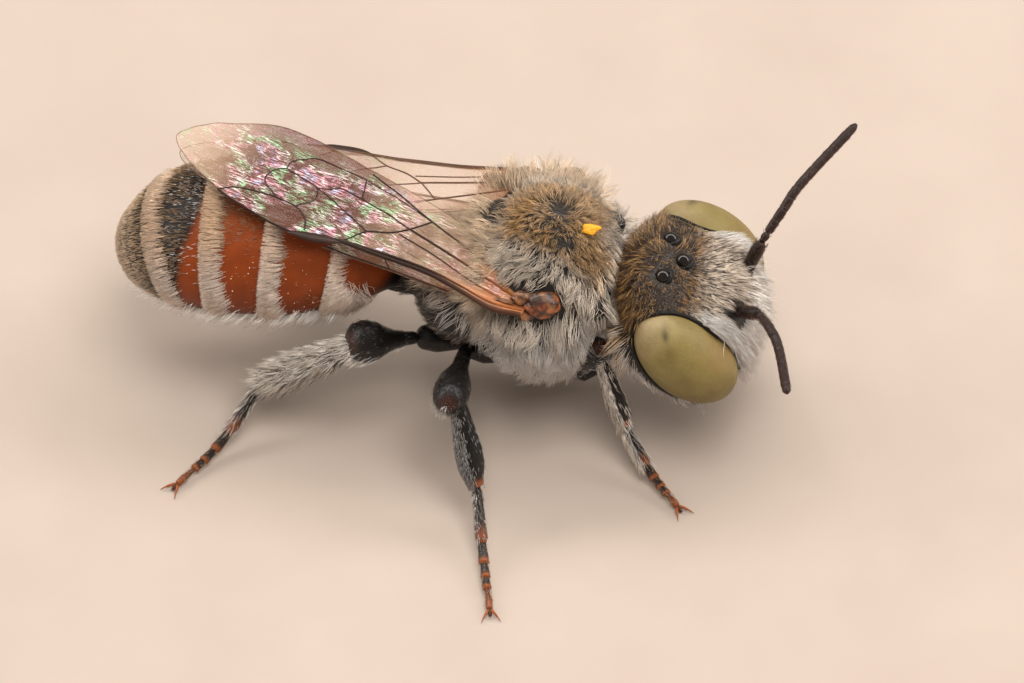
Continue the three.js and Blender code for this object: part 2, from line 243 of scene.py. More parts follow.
def fuse(shells, voxel, rounds):
    """One smooth skin round several overlapping closed shells."""
    mesh = bpy.data.meshes.new("shells")
    points, faces, total = [], [], 0
    for p, f in shells:
        points.append(p)
        faces += [tuple(i + total for i in face) for face in f]
        total += len(p)
    mesh.from_pydata(np.vstack(points), [], faces)
    obj = show(bpy.data.objects.new("shells", mesh))
    remesh = obj.modifiers.new("remesh", "REMESH")
    remesh.mode, remesh.voxel_size = "VOXEL", voxel
    smooth = obj.modifiers.new("smooth", "SMOOTH")
    smooth.factor, smooth.iterations = 0.5, rounds
    made = obj.evaluated_get(bpy.context.evaluated_depsgraph_get()).to_mesh()
    co = np.empty(len(made.vertices) * 3, np.float32)
    made.vertices.foreach_get("co", co)
    quads = [tuple(f.vertices) for f in made.polygons]
    bpy.data.objects.remove(obj)
    return co.reshape(-1, 3).astype(float), quads


class Skin:
    """A surface that hair grows on."""

    def __init__(self, points, faces):
        self.points, self.faces, tris = points, faces, []
        for f in faces:
            tris += [(f[0], f[i], f[i + 1]) for i in range(1, len(f) - 1)]
        self.tris = np.array(tris)
        a, b, c = (self.points[self.tris[:, k]] for k in range(3))
        cross = np.cross(b - a, c - a)
        self.area = np.linalg.norm(cross, axis=1) / 2
        normals = np.zeros_like(self.points)
        for k in range(3):
            np.add.at(normals, self.tris[:, k], cross)
        self.normals = unit(normals)

    def scatter(self, rng, per_mm2, keep):
        """Points and normals, evenly spread at per_mm2, thinned to the share that keep gives."""
        count = int(self.area.sum() * per_mm2)
        pick = rng.choice(len(self.tris), count, p=self.area / self.area.sum())
        u, v = rng.random((2, count))
        flip = u + v > 1
        u, v = np.where(flip, 1 - u, u), np.where(flip, 1 - v, v)
        share = np.stack([1 - u - v, u, v], 1)[..., None]
        points = (self.points[self.tris[pick]] * share).sum(1)
        normals = unit((self.normals[self.tris[pick]] * share).sum(1))
        kept = rng.random(count) < keep(points, normals)
        return points[kept], normals[kept]


# ---- hair ----------------------------------------------------------------------------------------
BRIGHTEST = 0.95  # of a hair's colour


class Tufts:
    """Hairs as closed three-sided strands, gathered into one piece of the coat."""

    PATCH = 0.003  # across a strand's patch on the unwrap

    def __init__(self):
        self.groups = []

    def grow(self, rng, roots, length, tint, root, *, lift, width, rings=2, lock=1, clump=0.8, curl=0.0,
             spread=12, sink=0.03, droop=0.0, patchy=0.16, mixed=0.12, clear=None):
        """Grows one hair at each root. roots has the places, normals, lie and unwrap of the hairs;
        root is the share of the tip's tint that the root has, a painted shade that darkens the hair
        towards the skin; lift is the angle off the skin at root and tip, in degrees; lock is how many
        hairs gather to a point, and clump how closely; spread is the scatter of the lie and droop its
        pull downwards; patchy is how much one lock's shade differs from another's, and mixed how much
        single hairs differ; clear says which places are free of other parts."""
        places, normals, lie, unwrap = roots
        count = len(places)
        if not count:
            return
        lie = lie - np.multiply.outer(droop, Z)
        length = length * rng.uniform(0.75, 1.2, count)
        flat = unit(lie - dot(lie, normals) * normals)
        across = np.cross(normals, flat)
        turn = np.radians(rng.normal(0, spread, count))[:, None]
        cos, sin = np.cos(turn), np.sin(turn)
        flat, across = flat * cos + across * sin, across * cos - flat * sin
        lift = [np.radians(a * rng.uniform(0.7, 1.3, count))[:, None] for a in lift]
        start, end = (flat * np.cos(a) + normals * np.sin(a) for a in lift)
        t = np.linspace(0, 1, rings + 1)
        reach = start[:, None] * t[:, None] + (end - start)[:, None] * (t**2)[:, None] / 2
        wave = np.sin(TAU * (t * rng.uniform(0.5, 1.1, (count, 1)) + rng.random((count, 1)))) * t
        path = (places - normals * sink)[:, None] + (length * (1 + sink))[:, None, None] * (
            reach + across[:, None] * wave[..., None] * curl)
        shade = rng.uniform(1 - mixed, 1 + mixed, count)
        if lock > 1 and count > 3 * lock:
            leaders = rng.choice(count, count // lock, replace=False)
            tree = KDTree(len(leaders))
            for i, leader in enumerate(leaders):
                tree.insert(places[leader], i)
            tree.balance()
            chosen = np.array([tree.find(r)[1] for r in places])
            own = leaders[chosen]
            pull = (clump * t**1.3)[None, :, None] * rng.uniform(0.8, 1.0, (count, 1, 1))
            path = path + (path[own] - path) * pull
            shade = shade * rng.uniform(1 - patchy, 1 + patchy, len(leaders))[chosen]
        width = width * rng.uniform(0.75, 1.25, count)
        # painted shade: each hair darkens from its tip towards its root
        shaded_root_tint, tip_tint = (np.broadcast_to(c, (count, 3))[:, None] for c in (tint * root, tint))
        tints = (shaded_root_tint + (tip_tint - shaded_root_tint) * t[:, None]) * shade[:, None, None]
        keep = np.ones(count, bool)
        if clear:
            keep = clear(path[:, 1:].reshape(-1, 3)).reshape(count, rings).all(1)
        self.groups.append([a[keep] for a in (path, normals, width, np.clip(tints, 0, BRIGHTEST), unwrap)])

    def piece(self, name, material, slot):
        points, tris, tints, uvs = zip(*[self.strands(*g) for g in self.groups])
        starts = np.cumsum([0] + [len(p) for p in points[:-1]])
        tris = np.vstack([t + s for t, s in zip(tris, starts)])
        points, tints, uvs = np.vstack(points), np.vstack(tints), np.vstack(uvs)
        mesh = bpy.data.meshes.new(name)
        mesh.vertices.add(len(points))
        mesh.vertices.foreach_set("co", place(points).astype(np.float32).ravel())
        mesh.loops.add(tris.size)
        mesh.loops.foreach_set("vertex_index", tris.astype(np.int32).ravel())
        mesh.polygons.add(len(tris))
        mesh.polygons.foreach_set("loop_start", np.arange(0, tris.size, 3, dtype=np.int32))
        layer = mesh.uv_layers.new(name="OFBake")
        layer.data.foreach_set("uv", uvs.astype(np.float32).ravel())
        mesh.update(calc_edges=True)
        return finish_piece(mesh, tints, material)

    def strands(self, path, normals, width, tints, uv):
        """Points, triangles, point colours and corner UVs of one group of strands."""
        count, rings = len(path), path.shape[1] - 1
        tangent = unit(np.diff(path, axis=1))
        side = unit(np.cross(tangent, normals[:, None] + 0.01))
        up = np.cross(side, tangent)
        taper = (1 - np.linspace(0, 1, rings + 1)[:rings] ** 1.6) * np.where(np.arange(rings) == 0, 0.8, 1)
        half = (width[:, None] * taper / 2)[..., None, None]
        turn = (np.array([0, 1, 2]) * TAU / 3 + math.pi / 2)[:, None]
        around = side[:, :, None] * np.cos(turn) + up[:, :, None] * np.sin(turn)
        ring = path[:, :rings, None] + half * around
        points = np.concatenate([ring.reshape(count, -1, 3), path[:, -1:]], 1)
        point_tints = np.concatenate([np.repeat(tints[:, :rings], 3, 1), tints[:, -1:]], 1)
        each = 3 * rings + 1
        tris, corners = [(0, 1, 2)], [((0, 0), (1 / 3, 0), (1 / 6, 0.05))]
        for j in range(rings):
            v0, v1 = j / rings, (j + 1) / rings
            for k in range(3):
                a, b = 3 * j + k, 3 * j + (k + 1) % 3
                u0, u1 = k / 3, (k + 1) / 3
                if j == rings - 1:
                    tris.append((a, each - 1, b))
                    corners.append(((u0, v0), ((u0 + u1) / 2, v1), (u1, v0)))
                else:
                    tris += [(a, a + 3, b + 3), (a, b + 3, b)]
                    corners += [((u0, v0), (u0, v1), (u1, v1)), ((u0, v0), (u1, v1), (u1, v0))]
        tris = np.array(tris)[None] + np.arange(count)[:, None, None] * each
        corners = np.array(corners).reshape(-1, 2) - 0.5
        uvs = np.clip(uv, 0.002, 0.998)[:, None] + corners[None] * self.PATCH
        return points.reshape(-1, 3), tris.reshape(-1, 3), point_tints.reshape(-1, 3), uvs.reshape(-1, 2)


def round_unwrap(points, centre, axis=Z, about=X):
    """Longitude and latitude of points about a centre, each from 0 to 1."""
    q = unit(points - centre)
    longitude = np.arctan2(q @ np.cross(axis, about), q @ about) / TAU + 0.5
    return np.stack([longitude, np.arccos(np.clip(q @ axis, -1, 1)) / math.pi], 1)


# ---- materials -----------------------------------------------------------------------------------
class Shader:
    """A material, its main shader, and short ways to add nodes to it."""

    def __init__(self, name, **sockets):
        self.material = bpy.data.materials.new(name)
        self.material.use_nodes = True
        self.tree = self.material.node_tree
        self.main = self.tree.nodes["Principled BSDF"]
        self.finish(**sockets)

    def give(self, socket, value):
        """Links a socket to a value that a node makes, or sets it to one of its own."""
        if isinstance(value, bpy.types.NodeSocket):
            self.tree.links.new(value, socket)
        elif isinstance(value, (tuple, list, np.ndarray)):
            socket.default_value = (list(value) + [1.0])[:len(socket.default_value)]
        else:
            socket.default_value = value

    def finish(self, **sockets):
        for name, value in sockets.items():
            self.give(self.main.inputs[name.replace("_", " ")], value)
        return self.material

    def node(self, kind, inputs=None, **settings):
        node = self.tree.nodes.new("ShaderNode" + kind)
        for key, value in settings.items():
            setattr(node, key, value)
        for key, value in (inputs or {}).items():
            self.give(node.inputs[key], value)
        return node

    def stretch(self, where, by):
        return self.node("VectorMath", {0: where, 1: by}, operation="MULTIPLY").outputs[0]

    def millimetres(self):
        """Object coordinates counted in millimetres."""
        return self.stretch(self.node("TexCoord").outputs["Object"], [1 / MM] * 3)

    def noise(self, scale, detail=3.0, roughness=0.5, where=None, distortion=0.0):
        inputs = {"Vector": where or self.millimetres(), "Scale": scale, "Detail": detail,
                  "Roughness": roughness, "Distortion": distortion}
        return self.node("TexNoise", inputs).outputs["Fac"]

    def cells(self, scale):
        return self.node("TexVoronoi", {"Vector": self.millimetres(), "Scale": scale}).outputs["Distance"]

    def range(self, value, low, high, out_low=0.0, out_high=1.0):
        inputs = {"Value": value, "From Min": low, "From Max": high, "To Min": out_low, "To Max": out_high}
        return self.node("MapRange", inputs).outputs[0]

    def math(self, operation, *values):
        """Values taken together two at a time."""
        return reduce(lambda a, b: self.node("Math", {0: a, 1: b}, operation=operation).outputs[0], values)

    def mix(self, share, a, b, blend="MIX"):
        node = self.node("Mix", data_type="RGBA", blend_type=blend)
        colours = [s for s in node.inputs if s.type == "RGBA"]
        for socket, value in zip([node.inputs[0], *colours], (share, a, b)):
            self.give(socket, value)
        return [s for s in node.outputs if s.type == "RGBA"][0]

    def tint(self):
        return self.node("Attribute", attribute_name="tint").outputs["Color"]

    def ramp(self, value, stops):
        node = self.node("ValToRGB", {0: value})
        elements = node.color_ramp.elements
        while len(elements) < len(stops):
            elements.new(0.5)
        for element, (where, shade) in zip(elements, stops):
            element.position, element.color = where, (*shade, 1.0)
        return node.outputs[0]

    def raise_by(self, height, microns):
        return self.node("Bump", {"Height": height, "Strength": 1.0, "Distance": microns * 1e-6}).outputs[0]


def shell_material(name, roughness, pit_scale, pit_depth, gloss=0.5):
    """Insect shell: tinted by its points, with fine pits painted darker inside as shade, faint streaks and
    uneven polish.
    """
    s = Shader(name, Specular_IOR_Level=gloss)
    pits = s.range(s.cells(pit_scale), 0.0, 0.45)
    fine = s.noise(pit_scale * 2.6, 4.0)
    cloud = s.noise(3.1, 4.0)
    base = s.mix(s.range(cloud, 0.3, 0.7, 0.0, 0.3), s.tint(), (0.0, 0.0, 0.0))
    # painted shade: the colour darkens towards black inside each pit
    base = s.mix(s.range(pits, 0.0, 0.6, 0.45, 0.0), base, (0.0, 0.0, 0.0))
    base = s.mix(s.range(fine, 0.45, 0.75, 0.0, 0.25), base, (1.0, 0.9, 0.75), "SOFT_LIGHT")
    height = s.math("ADD", s.math("MULTIPLY", pits, 0.8), s.math("MULTIPLY", fine, 0.4))
    rough = s.range(s.math("ADD", cloud, fine), 0.7, 1.3, roughness - 0.1, roughness + 0.12)
    return s.finish(Base_Color=base, Roughness=rough, Normal=s.raise_by(height, pit_depth))


def hair_material():
    s = Shader("coat_hair", Specular_IOR_Level=0.6, Sheen_Weight=0.1, Sheen_Roughness=0.4)
    streak = s.noise(55.0, 3.0)
    base = s.mix(s.range(streak, 0.3, 0.7, 0.0, 0.25), s.tint(), (0.9, 0.85, 0.78), "MULTIPLY")
    return s.finish(Base_Color=base, Roughness=s.range(streak, 0.3, 0.7, 0.32, 0.46))


def eye_material():
    s = Shader("compound_eye", Specular_IOR_Level=0.35, Subsurface_Weight=0.2, Subsurface_Scale=0.0002,
               Subsurface_Radius=(1.0, 0.8, 0.35))
    cloud = s.noise(2.2, 4.0, 0.6)
    speck = s.noise(30.0, 4.0, 0.65)
    base = s.mix(s.range(cloud, 0.4, 0.64, 0.0, 0.5), s.tint(), colour(96, 78, 42))
    base = s.mix(s.range(speck, 0.52, 0.8, 0.0, 0.2), base, colour(170, 152, 104))
    facets = s.range(s.cells(34.0), 0.0, 0.6, 1.0, 0.0)
    return s.finish(Base_Color=base, Roughness=s.range(speck, 0.3, 0.7, 0.42, 0.56),
                    Normal=s.raise_by(facets, 3.0))


def glass_bead_material():
    s = Shader("ocellus_dome", Specular_IOR_Level=0.5, IOR=1.5)
    deep = s.noise(9.0, 3.0)
    base = s.mix(s.range(deep, 0.35, 0.7), colour(5, 4, 4), colour(26, 15, 9))
    return s.finish(Base_Color=base, Roughness=s.range(deep, 0.3, 0.7, 0.03, 0.07))


def translucent_material(name, roughness):
    """Amber shell that light gets some way into."""
    s = Shader(name, Specular_IOR_Level=0.5, Coat_Weight=0.4, Coat_Roughness=0.16, Subsurface_Weight=0.4,
               Subsurface_Scale=0.0001, Subsurface_Radius=(1.0, 0.45, 0.15))
    cloud = s.noise(5.0, 4.0, distortion=0.8)
    base = s.mix(s.range(cloud, 0.42, 0.6), s.tint(), colour(52, 26, 14))
    base = s.mix(s.range(s.noise(4.0, 3.0), 0.54, 0.7, 0.0, 0.45), base, colour(190, 128, 76))
    fine = s.noise(60.0, 3.0)
    return s.finish(Base_Color=base, Roughness=s.range(fine, 0.3, 0.7, roughness - 0.08, roughness + 0.1),
                    Normal=s.raise_by(s.math("ADD", cloud, s.math("MULTIPLY", fine, 0.3)), 45))


def membrane_material(name, glint_strength):
    """Brown-tinged clear wing skin, with pink, green and white glints of iridescence painted along fine
    bright wrinkles.
    """
    s = Shader(name, Specular_IOR_Level=0.5, IOR=1.5)
    uv = s.node("UVMap", uv_map="plane").outputs[0]
    split = s.node("SeparateXYZ", {0: uv})
    u, v = split.outputs[0], split.outputs[1]
    outer = s.range(u, 2.5, 3.5)

    def wrinkles(stretch, distortion, reach):
        ripple = s.noise(1.0, 2.0, 0.5, s.stretch(uv, stretch), distortion)
        ridge = s.math("ABSOLUTE", s.math("SUBTRACT", ripple, 0.5), 0.0)
        return ripple, s.range(ridge, 0.004, reach, 1.0, 0.0)

    ripple, coarse = wrinkles((1.9, 17.0, 1.0), 0.7, 0.03)
    _, fine = wrinkles((3.4, 28.0, 3.0), 0.5, 0.032)
    lines = s.math("MAXIMUM", coarse, s.math("MULTIPLY", fine, 0.8))
    patches = s.range(s.noise(1.1, 2.0, 0.5, uv), 0.38, 0.5)
    breaks = s.range(s.noise(3.4, 2.0, 0.5, uv, 0.8), 0.36, 0.48)
    blade = s.math("MULTIPLY", s.range(v, -0.3, -0.14, 1.0, 0.0), s.range(u, 1.3, 2.6, 1.0, 0.0))
    # painted reflection: the wrinkles' iridescent glints are painted into the colour and make the skin less
    # clear there
    lights = s.math("MULTIPLY", lines, patches, breaks, s.range(u, 2.0, 3.0, 0.5, 1.0),
                    s.range(blade, 0.0, 0.6, glint_strength, 0.0), s.range(v, 0.85, 1.2, 1.0, 0.3),
                    s.range(u, 5.4, 6.2, 1.0, 0.6))
    hue = s.noise(2.4, 2.0, 0.5, uv, 0.6)
    rainbow = s.ramp(hue, [(0.4, (0.3, 0.62, 0.34)), (0.46, (0.6, 0.76, 0.56)), (0.5, (0.82, 0.8, 0.76)),
                           (0.55, (0.8, 0.58, 0.6)), (0.6, (0.76, 0.3, 0.4)), (0.66, (0.6, 0.58, 0.78))])
    base = s.mix(lights, s.tint(), rainbow)
    root = s.range(u, 0.3, 1.3, 0.5, 0.0)
    tip = s.range(u, 5.5, 6.5, 0.0, -0.3)
    cloud = s.range(s.noise(2.2, 4.0, 0.5, uv), 0.3, 0.7, 0.12, 0.24)
    veil = s.math("ADD", cloud, s.math("MULTIPLY", outer, 0.18 + 0.2 * glint_strength))
    veil = s.math("ADD", veil, s.math("ADD", root, tip))
    veil = s.math("MAXIMUM", veil, s.math("MULTIPLY", blade, 0.95))
    alpha = s.math("MINIMUM", s.math("ADD", veil, s.math("MULTIPLY", lights, 0.95)), 0.97)
    return s.finish(Base_Color=base, Alpha=alpha, Roughness=s.range(ripple, 0.3, 0.7, 0.2, 0.34),
                    Normal=s.raise_by(ripple, 30))


def floor_material():
    s = Shader("studio_floor", Specular_IOR_Level=0.2)
    grain = s.noise(0.35, 5.0)
    base = s.mix(s.range(grain, 0.3, 0.7), colour(168, 154, 143), colour(163, 149, 138))
    return s.finish(Base_Color=base, Roughness=s.range(grain, 0.3, 0.7, 0.75, 0.9))


BLACK = colour(13, 11, 10)
WHITE_HAIR = colour(247, 240, 234)
GREY_HAIR = colour(224, 208, 190)
TAN_HAIR = colour(207, 181, 151)
GOLD_HAIR = colour(202, 155, 92)
BROWN_HAIR = colour(140, 98, 50)
DARK_HAIR = colour(44, 33, 26)
CREAM = colour(243, 221, 205)

cuticle = shell_material("black_cuticle", 0.3, 26.0, 14, gloss=0.35)
limb_shell = shell_material("limb_cuticle", 0.28, 30.0, 9, gloss=0.35)
satin_shell = shell_material("satin_cuticle", 0.36, 30.0, 6, gloss=0.2)
feeler_shell = shell_material("feeler_cuticle", 0.36, 40.0, 6, gloss=0.3)
vein_shell = shell_material("wing_vein", 0.34, 30.0, 4, gloss=0.25)
hair = hair_material()
eye_shell = eye_material()
bead = glass_bead_material()
amber = translucent_material("amber_cuticle", 0.28)
near_membrane = membrane_material("wing_membrane", 1.0)
far_membrane = membrane_material("far_wing_membrane", 0.3)
pollen = shell_material("pollen_grain", 0.5, 18.0, 20)


# ---- the body's skin -----------------------------------------------------------------------------
HEAD_SKIN = {"crown": 1.36, "chin": 1.1, "width": 1.62, "brow": 0.67, "face": 0.95, "nape": 0.9}
GENA_AT = np.array([0.0, 1.08, -0.45])  # the cheek behind each eye
GENA_HALF = np.array([0.98, 0.5, 0.5])


def head_shape(d):
    """The head's outline: unit directions (along, out, front) to points of its skin."""
    x, y, z = np.asarray(d).T
    along = x * np.where(x > 0, HEAD_SKIN["chin"], HEAD_SKIN["crown"])
    out = y * HEAD_SKIN["width"] * (1 - 0.16 * np.maximum(x, 0) ** 2)
    depth = lerp(HEAD_SKIN["brow"], HEAD_SKIN["face"], smoothstep(x, -0.5, 0.3))
    return on_head(along, out, z * np.where(z > 0, depth, HEAD_SKIN["nape"]))


def head_level(points):
    """Below 1 inside the head's skin, 1 on it."""
    a, o, f = head_local(points)
    x = a / np.where(a > 0, HEAD_SKIN["chin"], HEAD_SKIN["crown"])
    y = o / (HEAD_SKIN["width"] * (1 - 0.16 * np.clip(x, 0, 1) ** 2))
    depth = lerp(HEAD_SKIN["brow"], HEAD_SKIN["face"], smoothstep(x, -0.5, 0.3))
    z = f / np.where(f > 0, depth, HEAD_SKIN["nape"])
    gena = (np.stack([a, np.abs(o), f], -1) - GENA_AT) / GENA_HALF
    return np.minimum(np.sqrt(x * x + y * y + z * z), np.linalg.norm(gena, axis=-1))


def egg(centre, half):
    points, faces = ball(4)
    return np.array(centre) + points * half, faces


THORAX_HALF = np.array([1.22, 1.66, 1.6])


def thorax_shell():
    d, faces = ball(5)
    x, y, z = d.T
    keel = 1 - 0.14 * np.maximum(-z, 0)
    shoulders = 1 - 0.1 * np.maximum(x, 0) * np.abs(y)
    return THORAX_CENTRE + np.c_[x, y * keel * shoulders, z] * THORAX_HALF, faces


def body_shells():
    d, faces = ball(5)
    shells = [(head_shape(d), faces), thorax_shell()]
    shells.append(egg([-0.86, 0, 3.44], [0.42, 0.8, 0.36]))  # scutellum
    shells.append(egg([0.66, 0, 2.85], [0.48, 1.05, 0.7]))  # pronotum
    shells.append(egg([-1.38, 0, 2.24], [0.82, 1.02, 0.94]))  # propodeum
    for side in SIDES.values():
        a, o, f = (GENA_AT + ball(4)[0] * GENA_HALF).T
        shells.append((on_head(a, side * o, f), ball(4)[1] if side > 0 else [g[::-1] for g in ball(4)[1]]))
        shells.append(egg([0.98, side * 0.98, 3.0], [0.2, 0.26, 0.2]))  # shoulder lobe
        shells.append(egg([-0.8, side * 0.92, 3.3], [0.3, 0.3, 0.24]))  # axilla
    shells.append(sweep(spline([[1.0, 0, 2.5], [2.0, 0, 2.5]], 8), 0.36))  # neck
    shells.append(sweep(spline([[-1.9, 0, 2.2], [-2.4, 0, 2.18], [-2.72, 0, 2.24]], 8), 0.26))  # waist
    return shells


def eye_shape(d, side, grow=0.0):
    """Unit directions (along, out, front) to points of an eye, a little fuller towards the jaw."""
    x, y, z = np.asarray(d).T
    full = 1 + 0.07 * x
    half = EYE_HALF + grow
    return on_head(EYE_AT[0] + x * half[0], side * (EYE_AT[1] + y * half[1]), EYE_AT[2] + z * full * half[2])


def outside_eyes(points, grow=0.02):
    """Whether points keep clear of both eyes."""
    a, o, f = head_local(points)
    half = EYE_HALF + grow
    x = (a - EYE_AT[0]) / half[0]
    full = 1 + 0.07 * np.clip(x, -1, 1)
    z = (f - EYE_AT[2]) / (half[2] * full)
    free = np.ones(len(points), bool)
    for side in SIDES.values():
        y = (side * o - EYE_AT[1]) / half[1]
        free &= x * x + y * y + z * z > 1
    return free


body = Skin(*fuse(body_shells(), voxel=0.045, rounds=12))


def on_head_share(points):
    """Whether points of the body skin are the head's."""
    top = (points[:, 0] > 1.45) & (points[:, 2] > 3.0)
    return top | (head_level(points) < 1.12) & (points[:, 0] > 1.3)


# ---- markings, shared by the skin and the coat ---------------------------------------------------
def thorax_tint(points):
    """Golden over the back's middle, cream behind, grey on the shoulders and white down the sides."""
    x, y, z = points.T
    uneven = 0.2 * wobble(points, 2.6)
    height = z - THORAX_CENTRE[2]
    edge = np.abs(y) - 0.35 * (x - 0.2) + uneven
    gold = (1 - smoothstep(edge, 0.55, 0.9)) * smoothstep(height, 0.6, 0.9)
    gold = gold * smoothstep(x + uneven, -0.85, -0.5)
    rear = smoothstep(-x, 0.55, 0.9) * smoothstep(height + uneven, 0.0, 0.5)
    white = 1 - smoothstep(height, 0.0, 0.7)
    tint = mix(GREY_HAIR, WHITE_HAIR, white)
    tint = mix(tint, TAN_HAIR, rear * 0.9)
    tint = mix(tint, TAN_HAIR, 0.85 * smoothstep(y, 0.55, 0.9) * smoothstep(height, 0.5, 0.9))
    tint = mix(tint, GOLD_HAIR, gold * (0.8 + 0.2 * wobble(points, 5.0, 3.0)))
    return mix(tint, GREY_HAIR, smoothstep(x + uneven, 0.82, 1.06) * 0.85)


def head_tint(points):
    """Golden brown on top, silvery tan on the forehead, white beside the eyes and on the jaw."""
    a, o, f = head_local(points)
    uneven = 0.1 * wobble(points, 4.0)
    top = 1 - smoothstep(a + 1.6 * uneven, -0.7, -0.3)
    front = smoothstep(f, 0.0, 0.3)
    beside = smoothstep(np.abs(o) + 0.1 * a + uneven * 0.5, 0.7, 0.86) * front * smoothstep(a, -0.45, -0.2)
    silver = colour(230, 213, 194)
    tint = mix(silver, WHITE_HAIR, np.clip(beside + smoothstep(a, 0.4, 0.8), 0, 1))
    tint = mix(tint, BROWN_HAIR, top * smoothstep(f, -0.35, 0.0))
    return mix(tint, WHITE_HAIR, (1 - smoothstep(f, -0.4, 0.0)) * smoothstep(a, -0.9, -0.4))


def body_skin():
    tints = np.where(on_head_share(body.points)[:, None], head_tint(body.points), thorax_tint(body.points))
    along, _, front = head_local(body.points)
    crown = on_head_share(body.points) * (1 - smoothstep(along, -0.6, -0.4)) * smoothstep(front, -0.3, 0.0)
    under = 0.01 + 0.05 * smoothstep(-body.points[:, 2], -2.2, -1.4) + 0.03 * crown
    shape = Shape().add(body.points, body.faces, mix(BLACK, tints, under))
    shape.piece("body_skin", cuticle, "thorax_coat", ["head", "neck", "thorax", "propodeum", "petiole"])


# ---- eyes, ocelli, jaws and feelers --------------------------------------------------------------
# Painted pseudopupils: dark shade where the eye's facets face the viewer, fixed in place on the eye.
PAINTED_PSEUDOPUPILS = (  # along and off the face, reach and depth
    (-0.7, 0.57, 0.075, 0.9), (-0.5, 0.46, 0.13, 0.36), (-0.5, 0.12, 0.12, 0.26), (0.05, 0.2, 0.2, 0.18),
)


def eye_tint(d):
    """Olive yellow-green with a painted pink reflection at the back of the brow, warmer along the face, with
    dark pseudopupils painted in as shade.
    """
    x, y, z = d.T
    # painted reflection: pinker towards the crown, at the back of the brow
    tint = mix(colour(118, 104, 58), colour(140, 123, 92), smoothstep(-x, 0.45, 1.0) * 0.85)
    tint = mix(tint, colour(128, 101, 60), smoothstep(z, 0.45, 0.95) * smoothstep(x, -0.4, 0.3) * 0.6)
    tint = mix(tint, colour(98, 92, 52), smoothstep(-z, 0.2, 0.9) * 0.5)
    # painted shade of the pseudopupils
    for at_x, at_z, reach, depth in PAINTED_PSEUDOPUPILS:
        spot = np.exp(-((x - at_x) ** 2 + (z - at_z) ** 2) / reach**2) * (y > 0)
        tint = mix(tint, colour(40, 36, 20), spot * depth)
    return tint


def eye_rim(side):
    """The line where an eye meets the head, as a closed loop of points."""
    turn = np.linspace(0, TAU, 97)[:-1]
    open_ = np.linspace(0.2, 2.6, 400)
    t, p = np.meshgrid(turn, open_, indexing="ij")
    d = np.stack([np.cos(t) * np.sin(p), np.cos(p), np.sin(t) * np.sin(p)], -1).reshape(-1, 3)
    inside = (head_level(eye_shape(d, side)) < 1).reshape(t.shape)
    first = np.where(inside.any(1), inside.argmax(1), len(open_) - 1)
    p = open_[first]
    p = (np.roll(p, 1) + 2 * p + np.roll(p, -1)) / 4
    d = np.stack([np.cos(turn) * np.sin(p), np.cos(p), np.sin(turn) * np.sin(p)], -1)
    return eye_shape(d, side, 0.012)


def ring_tube(loop, radius):
    """A closed tube round a closed loop."""
    around = 8
    tangent = unit(np.roll(loop, -1, 0) - np.roll(loop, 1, 0))
    out = loop - loop.mean(0)
    side = unit(out - dot(out, tangent) * tangent)
    up = np.cross(tangent, side)
    turn = (np.arange(around) * TAU / around)[:, None]
    ring = side[:, None] * np.cos(turn) + up[:, None] * np.sin(turn)
    points = (loop[:, None] + radius * ring).reshape(-1, 3)
    return points, [tuple(i % len(points) for i in f) for f in tube_walls(len(loop) + 1, around)]


def eyes():
    d, faces = ball(5)
    for name, side in SIDES.items():
        eye = eye_shape(d, side, EYE_FIT[name])
        Shape().add(eye, facing(faces, side), eye_tint(d)).part(f"eye_{name}", eye_shell, "compound_eye")
        rim = Shape().add(*ring_tube(eye_rim(side) - 0.01 * X, 0.042), BLACK)
        rim.piece(f"eye_rim_{name}", cuticle, "compound_eye")


def ocelli():
    """Three glassy domes, each in a dark seat, with the front one standing a little higher."""
    d, faces = ball(4)
    turn = np.linspace(0, TAU, 33)[:-1, None]
    for name, at in OCELLI.items():
        centre = on_head(*at)
        outward = unit(centre - HEAD_CENTRE - 0.35 * (centre - HEAD_CENTRE) @ Y * Y)
        rise = 0.02 if name == "median" else -0.03
        dome = Shape().add(centre + rise * outward + d * 0.135, faces, BLACK)
        dome.part(f"ocellus_{name}", bead, "ocellus")
        side = unit(np.cross(outward, X))
        ring = side * np.cos(turn) + np.cross(outward, side) * np.sin(turn)
        seat = Shape().add(*ring_tube(centre + (rise - 0.035) * outward + 0.14 * ring, 0.045), BLACK)
        seat.piece(f"ocellus_seat_{name}", cuticle, "ocellus")


def jaw_line(side):
    return [on_head(a, side * o, f) for a, o, f in ((0.72, 0.86, 0.02), (1.08, 0.7, 0.14), (1.3, 0.3, 0.22))]


def mandibles():
    t = np.linspace(0, 1, 20)
    radius = np.interp(t, [0, 0.1, 0.5, 0.9, 1], [0.1, 0.17, 0.15, 0.08, 0.03])
    share = np.r_[smoothstep(np.repeat(t, 14), 0.5, 1.0), 0, 1]
    for name, side in SIDES.items():
        points, faces = sweep(spline(jaw_line(side), 20), radius, 14, squash=0.75)
        jaw = Shape().add(points, faces, mix(BLACK, colour(92, 34, 18), share))
        jaw.part(f"mandible_{name}", limb_shell, "feeler")


ANTENNAE = {
    "left": {"socket": (3.28, 0.46, 2.78), "elbow": (3.52, 0.66, 3.34), "bend": (4.04, 1.6, 3.86),
             "tip": (4.78, 2.81, 4.16)},
    "right": {"socket": (3.3, -0.48, 2.8), "elbow": (3.7, -0.84, 3.16), "bend": (4.16, -1.7, 3.27),
              "tip": (4.46, -2.8, 3.4)},
}
FLAGELLOMERES = 11
PEDICEL = 0.07  # the share of a feeler's whip that is its neck


def feeler_part(name, path, radius, shade):
    """A tube, dark brown above and reddish below."""
    points, faces = sweep(path, radius, 18)
    axis = np.vstack([np.repeat(path, 18, 0), path[[0, -1]]])
    tint = mix(colour(38, 22, 18), colour(88, 44, 31), smoothstep((axis - points)[:, 2], -0.04, 0.05))
    Shape().add(points, faces, tint * shade).part(name, feeler_shell, "feeler")


